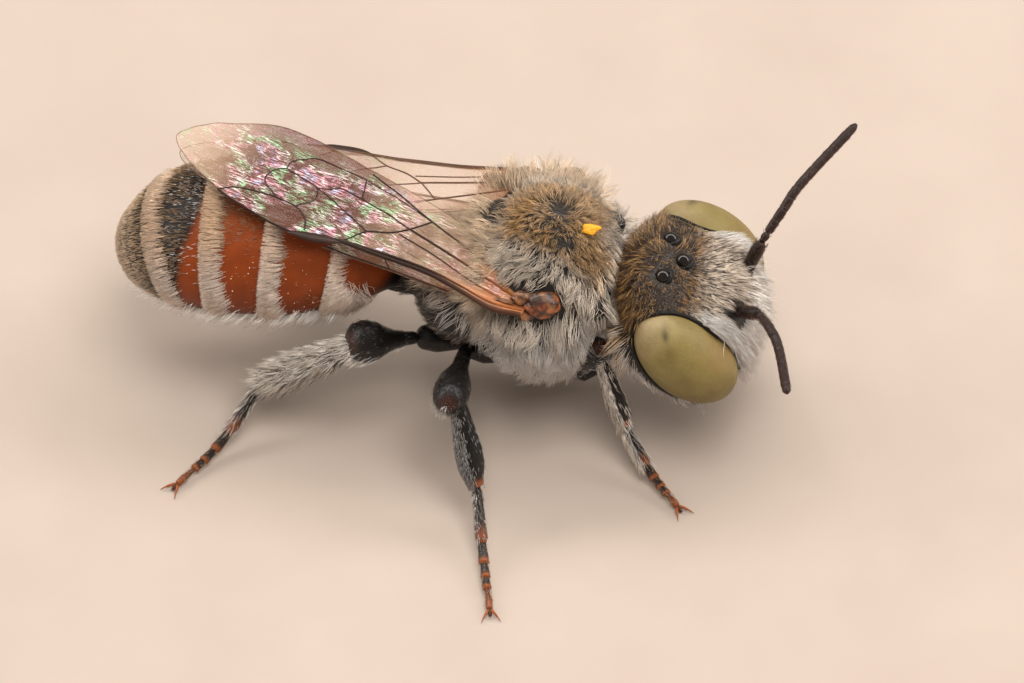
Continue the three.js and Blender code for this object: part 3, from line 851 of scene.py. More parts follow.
def whip_radius(share):
    """The radius along a feeler's whip: a short neck, then eleven joints with narrow seams."""
    joint = np.clip((share - PEDICEL) / (1 - PEDICEL), 0, 1) * FLAGELLOMERES
    phase = joint - np.floor(joint)
    swell = 1 - 0.09 * np.exp(-((np.minimum(phase, 1 - phase) / 0.07) ** 2)) + 0.05 * (phase - 0.5)
    radius = 0.082 * swell * np.interp(share, [0, 0.2, 0.9, 0.97, 1], [0.84, 1, 1.02, 0.85, 0.4])
    neck = 0.072 * np.sin(np.clip(share / PEDICEL, 0.2, 0.86) * math.pi) ** 0.5
    return np.where(share < PEDICEL, neck, radius)


def antennae():
    for name, at in ANTENNAE.items():
        socket, elbow, bend, tip = (np.array(at[k]) for k in ("socket", "elbow", "bend", "tip"))
        base = socket + (socket - elbow) * 0.15
        t = np.linspace(0, 1, 24)
        scape = lerp(base, elbow, t[:, None])
        stops = [(0, 0.05), (0.06, 0.09), (0.14, 0.08), (0.3, 0.108), (0.75, 0.118), (0.93, 0.09), (1, 0.04)]
        feeler_part(f"antenna_scape_{name}", scape, np.interp(t, *np.array(stops).T), 0.5)
        whip = spline([elbow, lerp(elbow, bend, 0.5) + np.array([0.02, 0, 0.06]), bend, tip], 160)
        length = np.r_[0, np.cumsum(np.linalg.norm(np.diff(whip, axis=0), axis=1))]
        feeler_part(f"antenna_flagellum_{name}", whip, whip_radius(length / length[-1]), 1.0)
        down = Tufts()
        rng = np.random.default_rng(60 + len(name))
        for part, (line, size, count) in enumerate(((scape, 0.112, 500), (whip, 0.08, 420))):
            roots = limb_roots(rng, part, line, [(0, size), (1, size)], count,
                               lambda t, n: (t > 0.06) & (t < 0.97))
            shade = mix(colour(60, 42, 34), colour(140, 112, 92), rng.random(len(roots[0])) ** 2)
            down.grow(rng, roots, 0.06, shade, 0.7, lift=(40, 24), width=0.008, sink=0.01)
        down.piece(f"antenna_down_{name}", hair, "feeler")


# ---- legs ----------------------------------------------------------------------------------------
LEGS = {
    "front": {"hip": (1.0, 0.42, 1.42), "trochanter": (0.55, 0.72, 1.05), "knee": (1.04, 1.08, 2.12),
              "ankle": (1.56, 1.46, 0.72), "toe": (2.6, 2.52, 0.2),
              "femur": 0.26, "tibia": 0.165, "reach": 1.02},
    "middle": {"hip": (-0.7, 0.45, 1.2), "trochanter": (-1.24, 0.72, 1.46), "knee": (-1.11, 2.6, 2.18),
               "ankle": (-0.67, 3.235, 0.75), "toe": (-0.12, 5.34, 0.2),
               "femur": 0.31, "tibia": 0.235, "reach": 0.8},
    "hind": {"hip": (-1.5, 0.42, 1.35), "trochanter": (-2.05, 0.85, 1.68), "knee": (-2.88, 1.52, 2.12),
             "ankle": (-4.57, 1.53, 0.9), "toe": (-5.72, 3.32, 0.2),
             "femur": 0.36, "tibia": 0.23, "reach": 0.94},
}
FEMUR_FORM = ((0.36, 0.46), (0.5, 0.68), (0.64, 0.93), (0.78, 1), (0.9, 0.88), (0.96, 0.62))
TIBIA_FORM = ((0.03, 0.5), (0.1, 0.62), (0.3, 0.78), (0.6, 1), (0.76, 0.93), (0.9, 0.64), (0.97, 0.56))
TARSOMERE_ENDS = (0, 0.4, 0.565, 0.695, 0.795, 1.0)
TARSOMERE_SIZES = (0.098, 0.086, 0.078, 0.072, 0.06)
GROUND_GAP = 0.1  # mm that the feet's hair keeps off the ground
RUST = colour(144, 76, 36)


def leg_joints(leg, side):
    """The leg's joints on one side, from the hip out."""
    toe_y = leg["toe"][1]
    found = {}
    for name in ("hip", "trochanter", "knee", "ankle", "toe"):
        x, y, z = leg[name]
        reach = lerp(1, leg["reach"], min(y / toe_y, 1)) if side > 0 else 1
        found[name] = np.array([x, side * y * reach, z])
    found["toe"][2] = 0.085
    found["instep"] = lerp(found["ankle"], found["toe"], 0.5)
    found["instep"][2] = 0.24
    return found


def limb(shape, start, end, stops, tint, around=20, rows=28):
    """A closed limb segment with a radius given at shares of its length, rounded off at both ends."""
    t = (1 - np.cos(np.linspace(0, math.pi, rows))) / 2
    points, faces = sweep(lerp(start, end, t[:, None]), np.interp(t, *np.array(stops).T), around)
    along = np.r_[np.repeat(t, around), 0, 1]
    shape.add(points, faces, tint(along) if callable(tint) else tint)


def thorn(shape, root, direction, length, radius, tint, hook=0.0):
    t = np.linspace(0, 1, 7)
    path = root + np.outer(t, direction) * length + np.outer(t**2, Z * hook)
    shape.add(*sweep(path, radius * (1 - 0.85 * t), 8), tint)


def claws(name, joints):
    """Two forked claws and the pad between them."""
    shape = Shape()
    toe = joints["toe"]
    ahead = unit((toe - joints["instep"]) * [1, 1, 0])
    across = np.cross(Z, ahead)
    for hand in (-1, 1):
        root = toe + ahead * 0.02 + across * hand * 0.03
        thorn(shape, root, unit(ahead + across * hand * 0.6 + Z * 0.15), 0.26, 0.03, RUST, -0.085)
        thorn(shape, root, unit(ahead * 0.8 + across * hand * 0.5), 0.14, 0.022, RUST, -0.05)
    pad_end = toe + ahead * 0.12 - Z * 0.03
    limb(shape, toe, pad_end, [(0, 0.03), (0.5, 0.045), (1, 0.02)], colour(70, 40, 26), 10, rows=8)
    shape.piece(name, limb_shell, "foot")


def tarsus(shape, joints):
    """Five joints of a foot, dark with rusty ends. Returns the line that they follow."""
    path = spline([joints["ankle"], joints["instep"], joints["toe"]], 200)
    share = np.linspace(0, 1, 200)
    for k, size in enumerate(TARSOMERE_SIZES):
        last = k == len(TARSOMERE_SIZES) - 1
        inside = path[(share >= TARSOMERE_ENDS[k] - 0.004) & (share <= TARSOMERE_ENDS[k + 1] + 0.012)]
        where, form = ((0, 0.12, 0.7, 0.95, 1), (0.5, 0.62, 1.0, 0.9, 0.5)) if last else (
            (0, 0.08, 0.5, 0.9, 1), (0.5, 0.82, 0.95, 1.1, 0.7))
        points, faces = sweep(inside, size * np.interp(np.linspace(0, 1, len(inside)), where, form), 14)
        along = np.r_[np.repeat(np.linspace(0, 1, len(inside)), 14), 0, 1]
        rust = 0.3 + 0.55 * along if last else smoothstep(along, 0.6, 0.95)
        shape.add(points, faces, mix(colour(34, 27, 24), RUST, rust * (0.85 if k else 0.6)))
    return path


def limb_roots(rng, part, path, stops, count, keep):
    """Hair roots along a path: places, normals, the way to its end, and part's strip of the unwrap."""
    t = rng.random(count)
    turn = rng.random(count) * TAU
    rows = np.linspace(0, 1, len(path))
    axis, ahead, behind = (np.stack([np.interp(t + step, rows, path[:, k]) for k in range(3)], 1)
                           for step in (0, 0.02, -0.02))
    way = unit(ahead - behind)
    side = unit(np.cross(way, Z))
    normal = side * np.cos(turn)[:, None] + np.cross(side, way) * np.sin(turn)[:, None]
    points = axis + normal * (np.interp(t, *np.array(stops).T) - 0.003)[:, None]
    kept = (rng.random(count) < keep(t, normal)) & (points[:, 2] > GROUND_GAP)
    unwrap = np.stack([(part + 0.02 + 0.96 * t) / 4, turn / TAU], 1)
    return [a[kept] for a in (points, normal, way, unwrap)]


def one_leg(prefix, pair, leg, side, rng):
    joints = leg_joints(leg, side)
    hip, trochanter, knee, ankle = (joints[k] for k in ("hip", "trochanter", "knee", "ankle"))
    past, behind = (0.34, 0.13) if pair == "middle" else (0.2, 0.05)
    beyond = knee + unit(knee - trochanter) * past - X * behind
    femur_stops = [(0, 0.04), (0.05, 0.11), (0.2, 0.125),
                   *[(t, leg["femur"] * share) for t, share in FEMUR_FORM], (1, 0.02)]
    tibia_stops = [(0, 0.03), *[(t, leg["tibia"] * share) for t, share in TIBIA_FORM], (1, 0.04)]

    def thigh_tint(t):
        return mix(BLACK, colour(64, 32, 22), smoothstep(t, 0.95, 0.99) * 0.6)

    def shin_tint(t):
        rust = smoothstep(t, 0.86, 0.95) + 0.6 * (1 - smoothstep(t, 0.02, 0.06))
        return mix(BLACK, RUST, np.clip(rust, 0, 1) * 0.85)

    coxa, thigh, shin, foot = Shape(), Shape(), Shape(), Shape()
    coxa_stops = [(0, 0.1), (0.12, 0.22), (0.6, 0.26), (0.9, 0.2), (1, 0.05)]
    limb(coxa, hip + (hip - trochanter) * 0.3, trochanter, coxa_stops, BLACK)
    limb(thigh, trochanter, beyond, femur_stops, thigh_tint, 24, rows=40)
    limb(shin, knee, ankle, tibia_stops, shin_tint, 24, rows=40)
    way = unit(ankle - knee)
    for k in range(2 if pair == "hind" else 1):
        out = unit(np.cross(way, Z) * (0.4 + 0.9 * k) * side - Z * 0.3)
        spur = lerp(knee, ankle, 0.96) + out * leg["tibia"] * 0.5
        thorn(shin, spur, unit(way + out * 0.35), 0.3, 0.024, colour(172, 120, 76))
    walk = tarsus(foot, joints)
    for part, shape in {"coxa": coxa, "femur": thigh, "tibia": shin, "tarsus": foot}.items():
        shape.part(f"{prefix}_{part}", limb_shell, "foot" if part == "tarsus" else "leg_shell")
    claws(f"{prefix}_claws", joints)
    femur, tibia = np.array([trochanter, beyond]), np.array([knee, ankle])
    leg_coat(rng, f"{prefix}_coat", pair, side, (femur, femur_stops), (tibia, tibia_stops), walk)


LEG_HAIR = {  # the fringe's shade, the tibia's hairs and where they turn silver, the foot's first joint
    "front": {"fringe": 1.0, "count": 5200, "long": 0.17, "lift": (20, 10), "clump": 0.25, "root": 0.8,
              "silver": (0.1, 0.3), "basal": 0.2, "basal_shade": 1.0},
    "middle": {"fringe": 0.62, "count": 4200, "long": 0.1, "lift": (20, 10), "clump": 0.25, "root": 0.8,
               "silver": (0.0, 0.5), "basal": 0.11, "basal_shade": 0.7},
    "hind": {"fringe": 1.0, "count": 3300, "long": 0.38, "lift": (32, 16), "clump": 0.85, "root": 0.72,
             "basal": 0.2, "basal_shade": 1.0},
}


def legs():
    for number, (pair, leg) in enumerate(LEGS.items()):
        for name, side in SIDES.items():
            rng = np.random.default_rng(40 + 2 * number + (side > 0))
            one_leg(f"leg_{pair}_{name}", pair, leg, side, rng)


def leg_coat(rng, name, pair, side, thigh, shin, walk):
    """Silver hair along the outer back of each leg, longest on the hind tibia and the front foot."""
    coat, form = Tufts(), LEG_HAIR[pair]

    def behind(n):
        """How far a place on the leg faces back and outwards, where the hair is silver."""
        return -0.8 * n[:, 0] + 0.35 * side * n[:, 1]

    def hairs(part, line, count, keep, look, root, **style):
        roots = limb_roots(rng, part, *line, count, keep)
        coat.grow(rng, roots, *look(roots[1]), root, **style)

    def thigh_look(n):
        pale = smoothstep(-n[:, 2] + 0.3 * rng.normal(size=len(n)), 0.2, 0.6)
        if pair == "middle":
            pale = 0.6 * pale * smoothstep(behind(n), -0.1, 0.4)
        return 0.1 + 0.16 * pale, mix(colour(92, 82, 76), WHITE_HAIR, pale)

    hairs(0, thigh, 1100, lambda t, n: np.where(t > 0.15, 0.4 + 0.6 * smoothstep(-n[:, 2], 0.1, 0.7), 0.0),
          thigh_look, 0.7, lift=(30, 18), width=0.01, lock=4, clump=0.4, sink=0.01)
    hairs(0, thigh, 800, lambda t, n: (t > 0.6) & (t < 0.94) & (behind(n) - n[:, 2] > 0.95),
          lambda n: (0.24, GREY_HAIR * form["fringe"]), 0.5, lift=(34, 22), width=0.011, lock=7, clump=0.6,
          sink=0.01, droop=0.4)

    def shin_keep(t, n):
        if pair == "hind":
            gap = 1 - 0.9 * bump(t, 0.16, 0.07)
            outer = smoothstep(side * n[:, 1] + n[:, 2], -0.3, 0.3)
            return (t > 0.02) * (t < 0.97) * gap * (0.5 + 0.5 * outer)
        return (t > 0.05) * (t < 0.97) * (0.06 + 0.94 * smoothstep(behind(n), *form["silver"]))

    def shin_look(n):
        below = 0.3 * smoothstep(-n[:, 2], -0.2, 0.5) if pair == "hind" else 0.12
        dark = rng.random(len(n)) < 0.08 + below
        tint = np.where(dark[:, None], DARK_HAIR, mix(GREY_HAIR, WHITE_HAIR, rng.random(len(n))))
        # On the middle pair the hairs are darkened and tinted blue-grey: real fine hair, with its sheen
        # painted in.
        return form["long"], mix(tint * 0.5, colour(112, 116, 124), 0.4) if pair == "middle" else tint

    hairs(1, shin, form["count"], shin_keep, shin_look, form["root"], lift=form["lift"], width=0.0125,
          lock=8, clump=form["clump"], sink=0.004, mixed=0.2)

    def basal_look(n):
        tint = mix(colour(140, 124, 108), WHITE_HAIR, rng.random(len(n)))
        return form["basal"], tint * form["basal_shade"]

    hairs(2, (walk[:81], [(0, 0.09), (1, 0.1)]), 620,
          lambda t, n: 0.25 + 0.75 * smoothstep(behind(n), 0.1, 0.6),
          basal_look, 0.8, lift=(22, 10), width=0.01, lock=5, clump=0.2, sink=0.006)
    if pair == "front":
        rear = np.vstack([lerp(*shin[0], 0.86), walk[:81:20]])
        hairs(2, (rear, [(0, 0.1), (1, 0.09)]), 700, lambda t, n: smoothstep(behind(n), 0.6, 0.8),
              lambda n: (0.26, GREY_HAIR), 0.8, lift=(34, 16), width=0.01, lock=8, clump=0.7, sink=0.01)
    bristle = colour(176, 146, 112)
    hairs(3, (walk[80:190], [(0, 0.08), (1, 0.06)]), 260, lambda t, n: np.ones(len(t)),
          lambda n: (0.08, bristle), colour(120, 88, 60) / bristle, lift=(34, 16), width=0.009, sink=0.008)
    coat.piece(name, hair, "leg_shell")


# ---- wings ---------------------------------------------------------------------------------------
FOREWING = {
    "length": 6.64,
    "leading": [(0, -0.42), (0.5, -0.54), (1.2, -0.43), (1.75, -0.36), (2.4, -0.39), (3.3, -0.44),
                (4.1, -0.66), (5.2, -0.5), (6.0, -0.22), (6.42, 0.02), (6.6, 0.2), (6.64, 0.31)],
    "trailing": [(0, 0.14), (0.9, 0.6), (1.9, 1.0), (3.4, 1.24), (5.0, 1.4), (6.0, 0.98), (6.42, 0.66),
                 (6.6, 0.43), (6.64, 0.31)],
    "veins": [  # radius at each end, and points from end to end
        (0.044, 0.03, [(0.02, -0.39), (0.5, -0.51), (1.2, -0.4), (1.75, -0.335), (2.4, -0.365), (3.3, -0.43),
                       (3.7, -0.54)]),
        (0.02, 0.03, [(0.05, -0.28), (0.55, -0.4), (1.2, -0.32), (1.75, -0.27), (2.64, -0.32),
                      (3.35, -0.42)]),
        (0.022, 0.014, [(4.05, -0.66), (4.6, -0.62), (5.15, -0.53), (5.56, -0.42)]),
        (0.014, 0.016, [(5.56, -0.42), (5.26, -0.21), (4.63, -0.10), (4.25, -0.12), (4.02, -0.28),
                        (3.93, -0.5)]),
        (0.015, 0.013, [(4.63, -0.10), (4.93, 0.12), (4.95, 0.32), (4.84, 0.51), (4.74, 0.57)]),
        (0.013, 0.013, [(4.74, 0.57), (4.42, 0.5), (4.13, 0.43), (4.05, 0.17), (4.26, -0.10)]),
        (0.013, 0.013, [(4.13, 0.43), (3.95, 0.5), (3.73, 0.61), (3.32, 0.59)]),
        (0.018, 0.015, [(2.39, 0.38), (2.66, 0.15), (3.0, -0.02), (3.2, -0.29), (3.28, -0.4)]),
        (0.015, 0.013, [(3.0, -0.02), (3.45, 0.18), (3.85, 0.34), (4.1, 0.42)]),
        (0.015, 0.013, [(2.39, 0.38), (2.85, 0.5), (3.32, 0.59), (3.4, 0.77), (3.47, 1.01)]),
        (0.013, 0.012, [(4.74, 0.57), (4.72, 0.76), (4.55, 0.9), (4.39, 1.02), (3.88, 1.03), (3.47, 1.01)]),
        (0.024, 0.02, [(0, -0.12), (0.8, 0.06), (1.6, 0.23), (2.39, 0.38)]),
        (0.018, 0.015, [(2.39, 0.38), (2.26, 0.55), (2.13, 0.73)]),
        (0.022, 0.014, [(0, 0.02), (0.37, 0.16), (1.16, 0.42), (2.13, 0.73), (2.8, 0.98), (3.42, 1.17)]),
        (0.013, 0.01, [(2.13, 0.73), (2.8, 0.9), (3.47, 1.01)]),
        (0.016, 0.014, [(0, -0.2), (0.5, -0.2), (1.1, -0.1), (1.8, 0.08), (2.5, 0.2)]),
    ],
    "stigma": [(3.26, -0.44), (3.7, -0.56), (4.16, -0.68)],
}
HINDWING = {
    "length": 4.5,
    "leading": [(0, -0.1), (1.4, -0.12), (3.0, -0.2), (4.0, -0.1), (4.36, 0.12), (4.5, 0.35)],
    "trailing": [(0, 0.16), (0.7, 0.86), (1.8, 1.3), (3.1, 1.28), (4.1, 0.9), (4.4, 0.6), (4.5, 0.35)],
    "veins": [
        (0.028, 0.014, [(0, -0.05), (1.4, -0.09), (2.4, -0.15), (3.3, -0.14)]),
        (0.02, 0.013, [(0, 0.02), (0.8, 0.18), (1.6, 0.36), (2.2, 0.42)]),
        (0.014, 0.011, [(1.75, -0.1), (1.95, 0.12), (2.2, 0.42), (3.0, 0.5), (3.8, 0.46)]),
        (0.014, 0.01, [(1.6, 0.36), (1.75, 0.62), (2.5, 0.86), (3.2, 0.96)]),
        (0.016, 0.01, [(0, 0.08), (0.6, 0.4), (1.3, 0.8), (2.0, 1.14)]),
    ],
}
WINGS = {
    "forewing_right": {"plan": FOREWING, "root": (-0.05, 1.4, 3.46), "sweep": 14.7, "rise": 8.1, "roll": 0,
                       "droop": 0.02, "reach": 1, "pale": 0.0},
    "forewing_left": {"plan": FOREWING, "root": (-0.03, 1.4, 3.42), "sweep": 6, "rise": 6.2, "roll": 2,
                      "droop": 0.3, "reach": 0.955, "pale": 0.7},
    "hindwing_right": {"plan": HINDWING, "root": (-0.8, 1.14, 3.0), "sweep": 12, "rise": 9, "roll": 0,
                       "droop": 0.02, "reach": 1, "pale": 0.3},
    "hindwing_left": {"plan": HINDWING, "root": (-0.8, 1.14, 2.96), "sweep": 6, "rise": 8, "roll": 0,
                      "droop": 0.2, "reach": 1, "pale": 0.7},
}
DROOP_FROM = 0.5  # mm behind the root, in front of which a wing bends down
WING_THICK = 0.006  # mm


def wing_ripple(u, v):
    """Small unevenness of a wing's skin, in mm: pleats from the root and crumples towards the tip."""
    pleat = 0.03 * np.sin(v * 9 - u * 1.2) * np.exp(-((u / 1.8) ** 2))
    crumple = 0.012 * np.sin(u * 5.1 + 3 * np.sin(v * 4.3)) * np.sin(v * 11 + 2 * np.sin(u * 2.1))
    return pleat + crumple * smoothstep(u, 1.0, 4.0)


def wing_point(wing, side, u, v, lift=0.0):
    """A point of the wing's plane, u from the root to the tip and v inwards, in the bee's frame."""
    u, v = np.asarray(u, float), np.asarray(v, float)
    height = lift + wing_ripple(u, v) - wing["droop"] * np.maximum(DROOP_FROM - v, 0) ** 2
    roll, rise, turn = (math.radians(wing[k]) for k in ("roll", "rise", "sweep"))
    y = v * math.cos(roll) - height * math.sin(roll)
    z = v * math.sin(roll) + height * math.cos(roll)
    u = u * wing["reach"]
    x, z = u * math.cos(-rise) + z * math.sin(-rise), -u * math.sin(-rise) + z * math.cos(-rise)
    x, y = x * math.cos(turn) - y * math.sin(turn), x * math.sin(turn) + y * math.cos(turn)
    rx, ry, rz = wing["root"]
    return np.stack([rx - x, side * (ry - y), rz + z], -1)


def wing_tint(u, v, pale):
    """Warm amber near the root, smoky brown further out, paler at the tip."""
    amber_share = (1 - smoothstep(u, 0.3, 1.9)) * 0.95
    smoky = mix(colour(92, 54, 40), colour(174, 144, 118), np.maximum(smoothstep(u, 5.0, 6.3), pale))
    smoky = mix(smoky, colour(190, 156, 128), 0.7 * (1 - smoothstep(u, 2.4, 3.4)))
    amber = mix(colour(158, 94, 48), colour(70, 38, 25), smoothstep(-v, 0.36, 0.5))
    return mix(smoky, amber, amber_share)


def wing_membrane(name, wing, side):
    """A wing's thin skin, closed round its edge, with its flat plan kept as a UV map."""
    plan, rows, columns = wing["plan"], 110, 30
    u = plan["length"] * (1 - np.cos(np.linspace(0.1, math.pi, rows))) / 2
    front, back = (np.interp(u, *spline(plan[edge], 400).T) for edge in ("leading", "trailing"))
    uu = np.repeat(u[:, None], columns, 1)
    vv = lerp(front[:, None], back[:, None], np.linspace(0, 1, columns))
    both = [wing_point(wing, side, uu, vv, h).reshape(-1, 3) for h in (WING_THICK / 2, -WING_THICK / 2)]
    tint = np.tile(wing_tint(uu, vv, wing["pale"]).reshape(-1, 3), (2, 1))
    grid, size = np.arange(rows * columns).reshape(rows, columns), rows * columns
    top = np.stack([grid[:-1, :-1], grid[:-1, 1:], grid[1:, 1:], grid[1:, :-1]], -1).reshape(-1, 4)
    rim = np.r_[grid[0], grid[1:, -1], grid[-1, -2::-1], grid[-2:0:-1, 0]]
    after = np.roll(rim, -1)
    faces = [*np.stack([top, size + top[:, ::-1]], 1).reshape(-1, 4),
             *np.stack([rim, rim + size, after + size, after], 1)]
    shape = Shape().add(np.vstack(both), facing(faces, side), tint)
    obj = shape.part(name, near_membrane if side < 0 else far_membrane, "wing_membrane")
    flat = np.tile(np.stack([uu.ravel(), vv.ravel()], 1), (2, 1))
    loops = np.empty(len(obj.data.loops), np.int32)
    obj.data.loops.foreach_get("vertex_index", loops)
    obj.data.uv_layers.new(name="plane").data.foreach_set("uv", flat[loops].astype(np.float32).ravel())


def wing_veins(name, wing, side):
    """Veins along the plan's lines, a fine cord round the edge and the thick spot on the leading edge."""
    plan, pale, shape = wing["plan"], wing["pale"], Shape()
    for number, (start, end, line) in enumerate(plan["veins"]):
        uv = spline(line, 14 * len(line))
        warm = (1 - smoothstep(uv[:, 0], 0.2, 2.0)) * (0.9 if number else 0.2)
        tint = mix(mix(colour(40, 25, 19), colour(128, 72, 34), warm), colour(104, 72, 52), 0.7 * pale)
        radius = lerp(start, end, np.linspace(0, 1, len(uv))) * (1 - 0.3 * pale)
        points, faces = sweep(wing_point(wing, side, *uv.T), radius, 8)
        shape.add(points, faces, np.vstack([np.repeat(tint, 8, 0), tint[[0, -1]]]))
    edge = np.vstack([spline(plan["leading"], 60), spline(plan["trailing"], 60)[::-1]])
    shape.add(*sweep(wing_point(wing, side, *edge.T), 0.006, 6), colour(120, 92, 74))
    if "stigma" in plan:
        path = wing_point(wing, side, *spline(plan["stigma"], 24).T)
        radius = 0.1 * np.sin(np.clip(np.linspace(0, 1, 24), 0.04, 0.96) * math.pi) ** 0.6
        shape.add(*sweep(path, radius, 12, squash=0.4), colour(46, 30, 23))
    shape.piece(f"{name}_veins", vein_shell, "wing_membrane")


def wings():
    for name, wing in WINGS.items():
        side = SIDES[name.split("_")[1]]
        wing_membrane(name, wing, side)
        wing_veins(name, wing, side)


HINGE_PLATES = (  # behind each wing's root: place and half sizes
    ((-0.2, 1.44, 3.52), (0.17, 0.12, 0.12)), ((-0.3, 1.52, 3.35), (0.22, 0.08, 0.12)),
    ((-0.1, 1.58, 3.27), (0.15, 0.1, 0.1)), ((-0.52, 1.55, 3.43), (0.26, 0.06, 0.12)),
)


def tegulae():
    """The scale over each wing's root, with the small hinge plates behind it."""
    d, faces = ball(4)
    x, y, z = d.T
    groove = np.exp(-((0.55 * x + 0.85 * z - 0.12) / 0.16) ** 2)
    lumps = 1 + 0.11 * wobble(d, 2.4) - 0.17 * groove
    scale = np.c_[x * 0.33, y * 0.23, z * (0.24 + 0.04 * x)] * lumps[:, None]
    rim = smoothstep(np.abs(z) + 0.5 * np.maximum(-x, 0), 0.5, 0.85)
    # painted shade: the scale is painted darker in its groove; it is also darker round its rim and rear
    scale_tint = mix(colour(146, 72, 26), colour(48, 26, 16), np.maximum(rim, groove * 0.8))
    # painted shade: each hinge plate is darker underneath
    plate_tint = mix(colour(104, 66, 40), colour(50, 30, 20), smoothstep(-z, 0, 0.8))
    for name, side in SIDES.items():
        shape = Shape().add(np.array([0.12, side * 1.46, 3.43]) + scale, faces, scale_tint)
        for at, half in HINGE_PLATES:
            plate = np.array(at) * [1, side, 1] + d * half * (1 + 0.26 * wobble(d, 3.0)[:, None])
            shape.add(plate, faces, plate_tint)
        shape.part(f"tegula_{name}", amber, "tegula")


# ---- abdomen -------------------------------------------------------------------------------------
STATIONS = [(-2.5, 2.3, 0.36), (-3.0, 2.52, 0.86), (-3.6, 2.66, 1.2), (-4.3, 2.72, 1.4), (-5.0, 2.73, 1.48),
            (-5.7, 2.67, 1.43), (-6.25, 2.5, 1.27), (-6.68, 2.27, 0.98), (-6.96, 2.07, 0.62),
            (-7.12, 1.93, 0.0)]  # x, height of the middle line and half width
MARGINS = (-2.5, -3.6, -4.64, -5.58, -6.38, -6.82, -7.12)  # x of the plates' edges
FLATNESS = 0.81  # of a section, its height over its width
ABDOMEN_COAT = 0.05  # mm of hair that the half widths hold
abdomen_line = spline(STATIONS, 600)


def abdomen_ring(x, turn, grow=0.0):
    """A point of the abdomen's shell at x; turn 0 is its left side and a quarter turn its back."""
    line_x, line_z, line_w = abdomen_line.T
    z = np.interp(-x, -line_x, line_z)
    slope = (np.interp(-(x - 0.05), -line_x, line_z) - z) / -0.05
    tilt = unit(np.stack([-slope, np.zeros_like(slope), np.ones_like(slope)], -1))
    half = np.maximum(np.interp(-x, -line_x, line_w) - ABDOMEN_COAT, 0.0) + grow
    half = half * (1 - 0.03 * smoothstep(-np.sin(turn), 0.45, 0.6))
    centre = np.stack([x, np.zeros_like(x), z], -1)
    return centre + (half * np.cos(turn))[..., None] * Y + (half * FLATNESS * np.sin(turn))[..., None] * tilt


def abdomen_tint(x, turn):
    """Brick red, painted darker underneath as shade, black over the back and rear of the fourth segment and
    all round behind it.
    """
    up = np.sin(turn)
    where = np.stack([x, np.cos(turn), up], -1)
    uneven = 0.04 * wobble(where.reshape(-1, 3), 4.0).reshape(x.shape)
    start = 5.58 + 0.26 * (1 - smoothstep(up, 0.55, 0.97)) + 0.14 * (1 - smoothstep(up, 0.0, 0.7))
    start = start + 0.5 * smoothstep(-up, 0.1, 0.5)
    black = smoothstep(-x + uneven, start - 0.03, start + 0.09)
    black = np.maximum(black, 1 - smoothstep(-x, 2.6, 2.85))
    # painted shade: the red darkens towards the underside
    red = mix(colour(122, 53, 18), colour(90, 34, 13), smoothstep(-up, 0.0, 0.8))
    red = mix(red, colour(84, 46, 26), 0.7 * smoothstep(up, 0.8, 1.0) * smoothstep(-x, 4.5, 5.0))
    dark = mix(colour(22, 17, 15), colour(62, 50, 38), smoothstep(-x, 6.35, 6.7))
    return mix(red, dark, black)


def abdomen():
    """Six overlapping plates, each a closed shell with a thin lip at its rear."""
    around = 72
    turn = np.linspace(0, TAU, around + 1)[:-1]
    for k, (front, back) in enumerate(zip(MARGINS, MARGINS[1:])):
        last = k == 5
        t = np.linspace(-0.08, 1, 26)
        x = lerp(front, back, np.clip(t, 0 if k == 0 else -0.08, 0.985 if last else 1))
        lip = 0.012 * smoothstep(t, 0.75, 1.0) - 0.03 * (1 - smoothstep(t, -0.08, 0.25))
        if last:
            lip = lip * (1 - t)
        xx, tt = np.meshgrid(x, turn, indexing="ij")
        tints = abdomen_tint(xx, tt)
        inner = abdomen_ring(xx[-1:], tt[-1:], 0.0 if last else -0.04) + 0.01 * X
        rings = np.vstack([abdomen_ring(xx, tt, lip[:, None]), inner])
        # painted shade: the ring tucked in under each lip is at half brightness
        tints = np.vstack([tints, tints[-1:] * 0.5])
        points = np.vstack([rings.reshape(-1, 3), rings[0].mean(0), rings[-1].mean(0)])
        tint = np.vstack([tints.reshape(-1, 3), tints[0, :1], tints[-1, :1]])
        shape = Shape().add(points, facing(tube_faces(len(rings), around), -1), tint)
        shape.part(f"abdomen_segment_{k + 1}", satin_shell, "abdomen_red" if k < 4 else "abdomen_dark")


def abdomen_roots(rng, x_range, count, keep):
    """Hair roots on the abdomen, each one's x, and how far it faces out and up."""
    x = rng.uniform(*x_range, count)
    turn = rng.random(count) * TAU
    kept = rng.random(count) < keep(x, np.cos(turn), np.sin(turn))
    x, turn = x[kept], turn[kept]
    p = abdomen_ring(x, turn)
    along = abdomen_ring(x - 0.03, turn) - p
    n = unit(np.cross(abdomen_ring(x, turn + 0.03) - p, along))
    outward = p - np.stack([x, np.zeros_like(x), np.interp(-x, -abdomen_line[:, 0], abdomen_line[:, 1])], 1)
    n = n * np.sign(dot(n, outward))
    unwrap = np.stack([turn / TAU, (x + 7.3) / 5.0], 1)
    return [p, n, unit(along), unwrap], x, np.cos(turn), np.sin(turn)


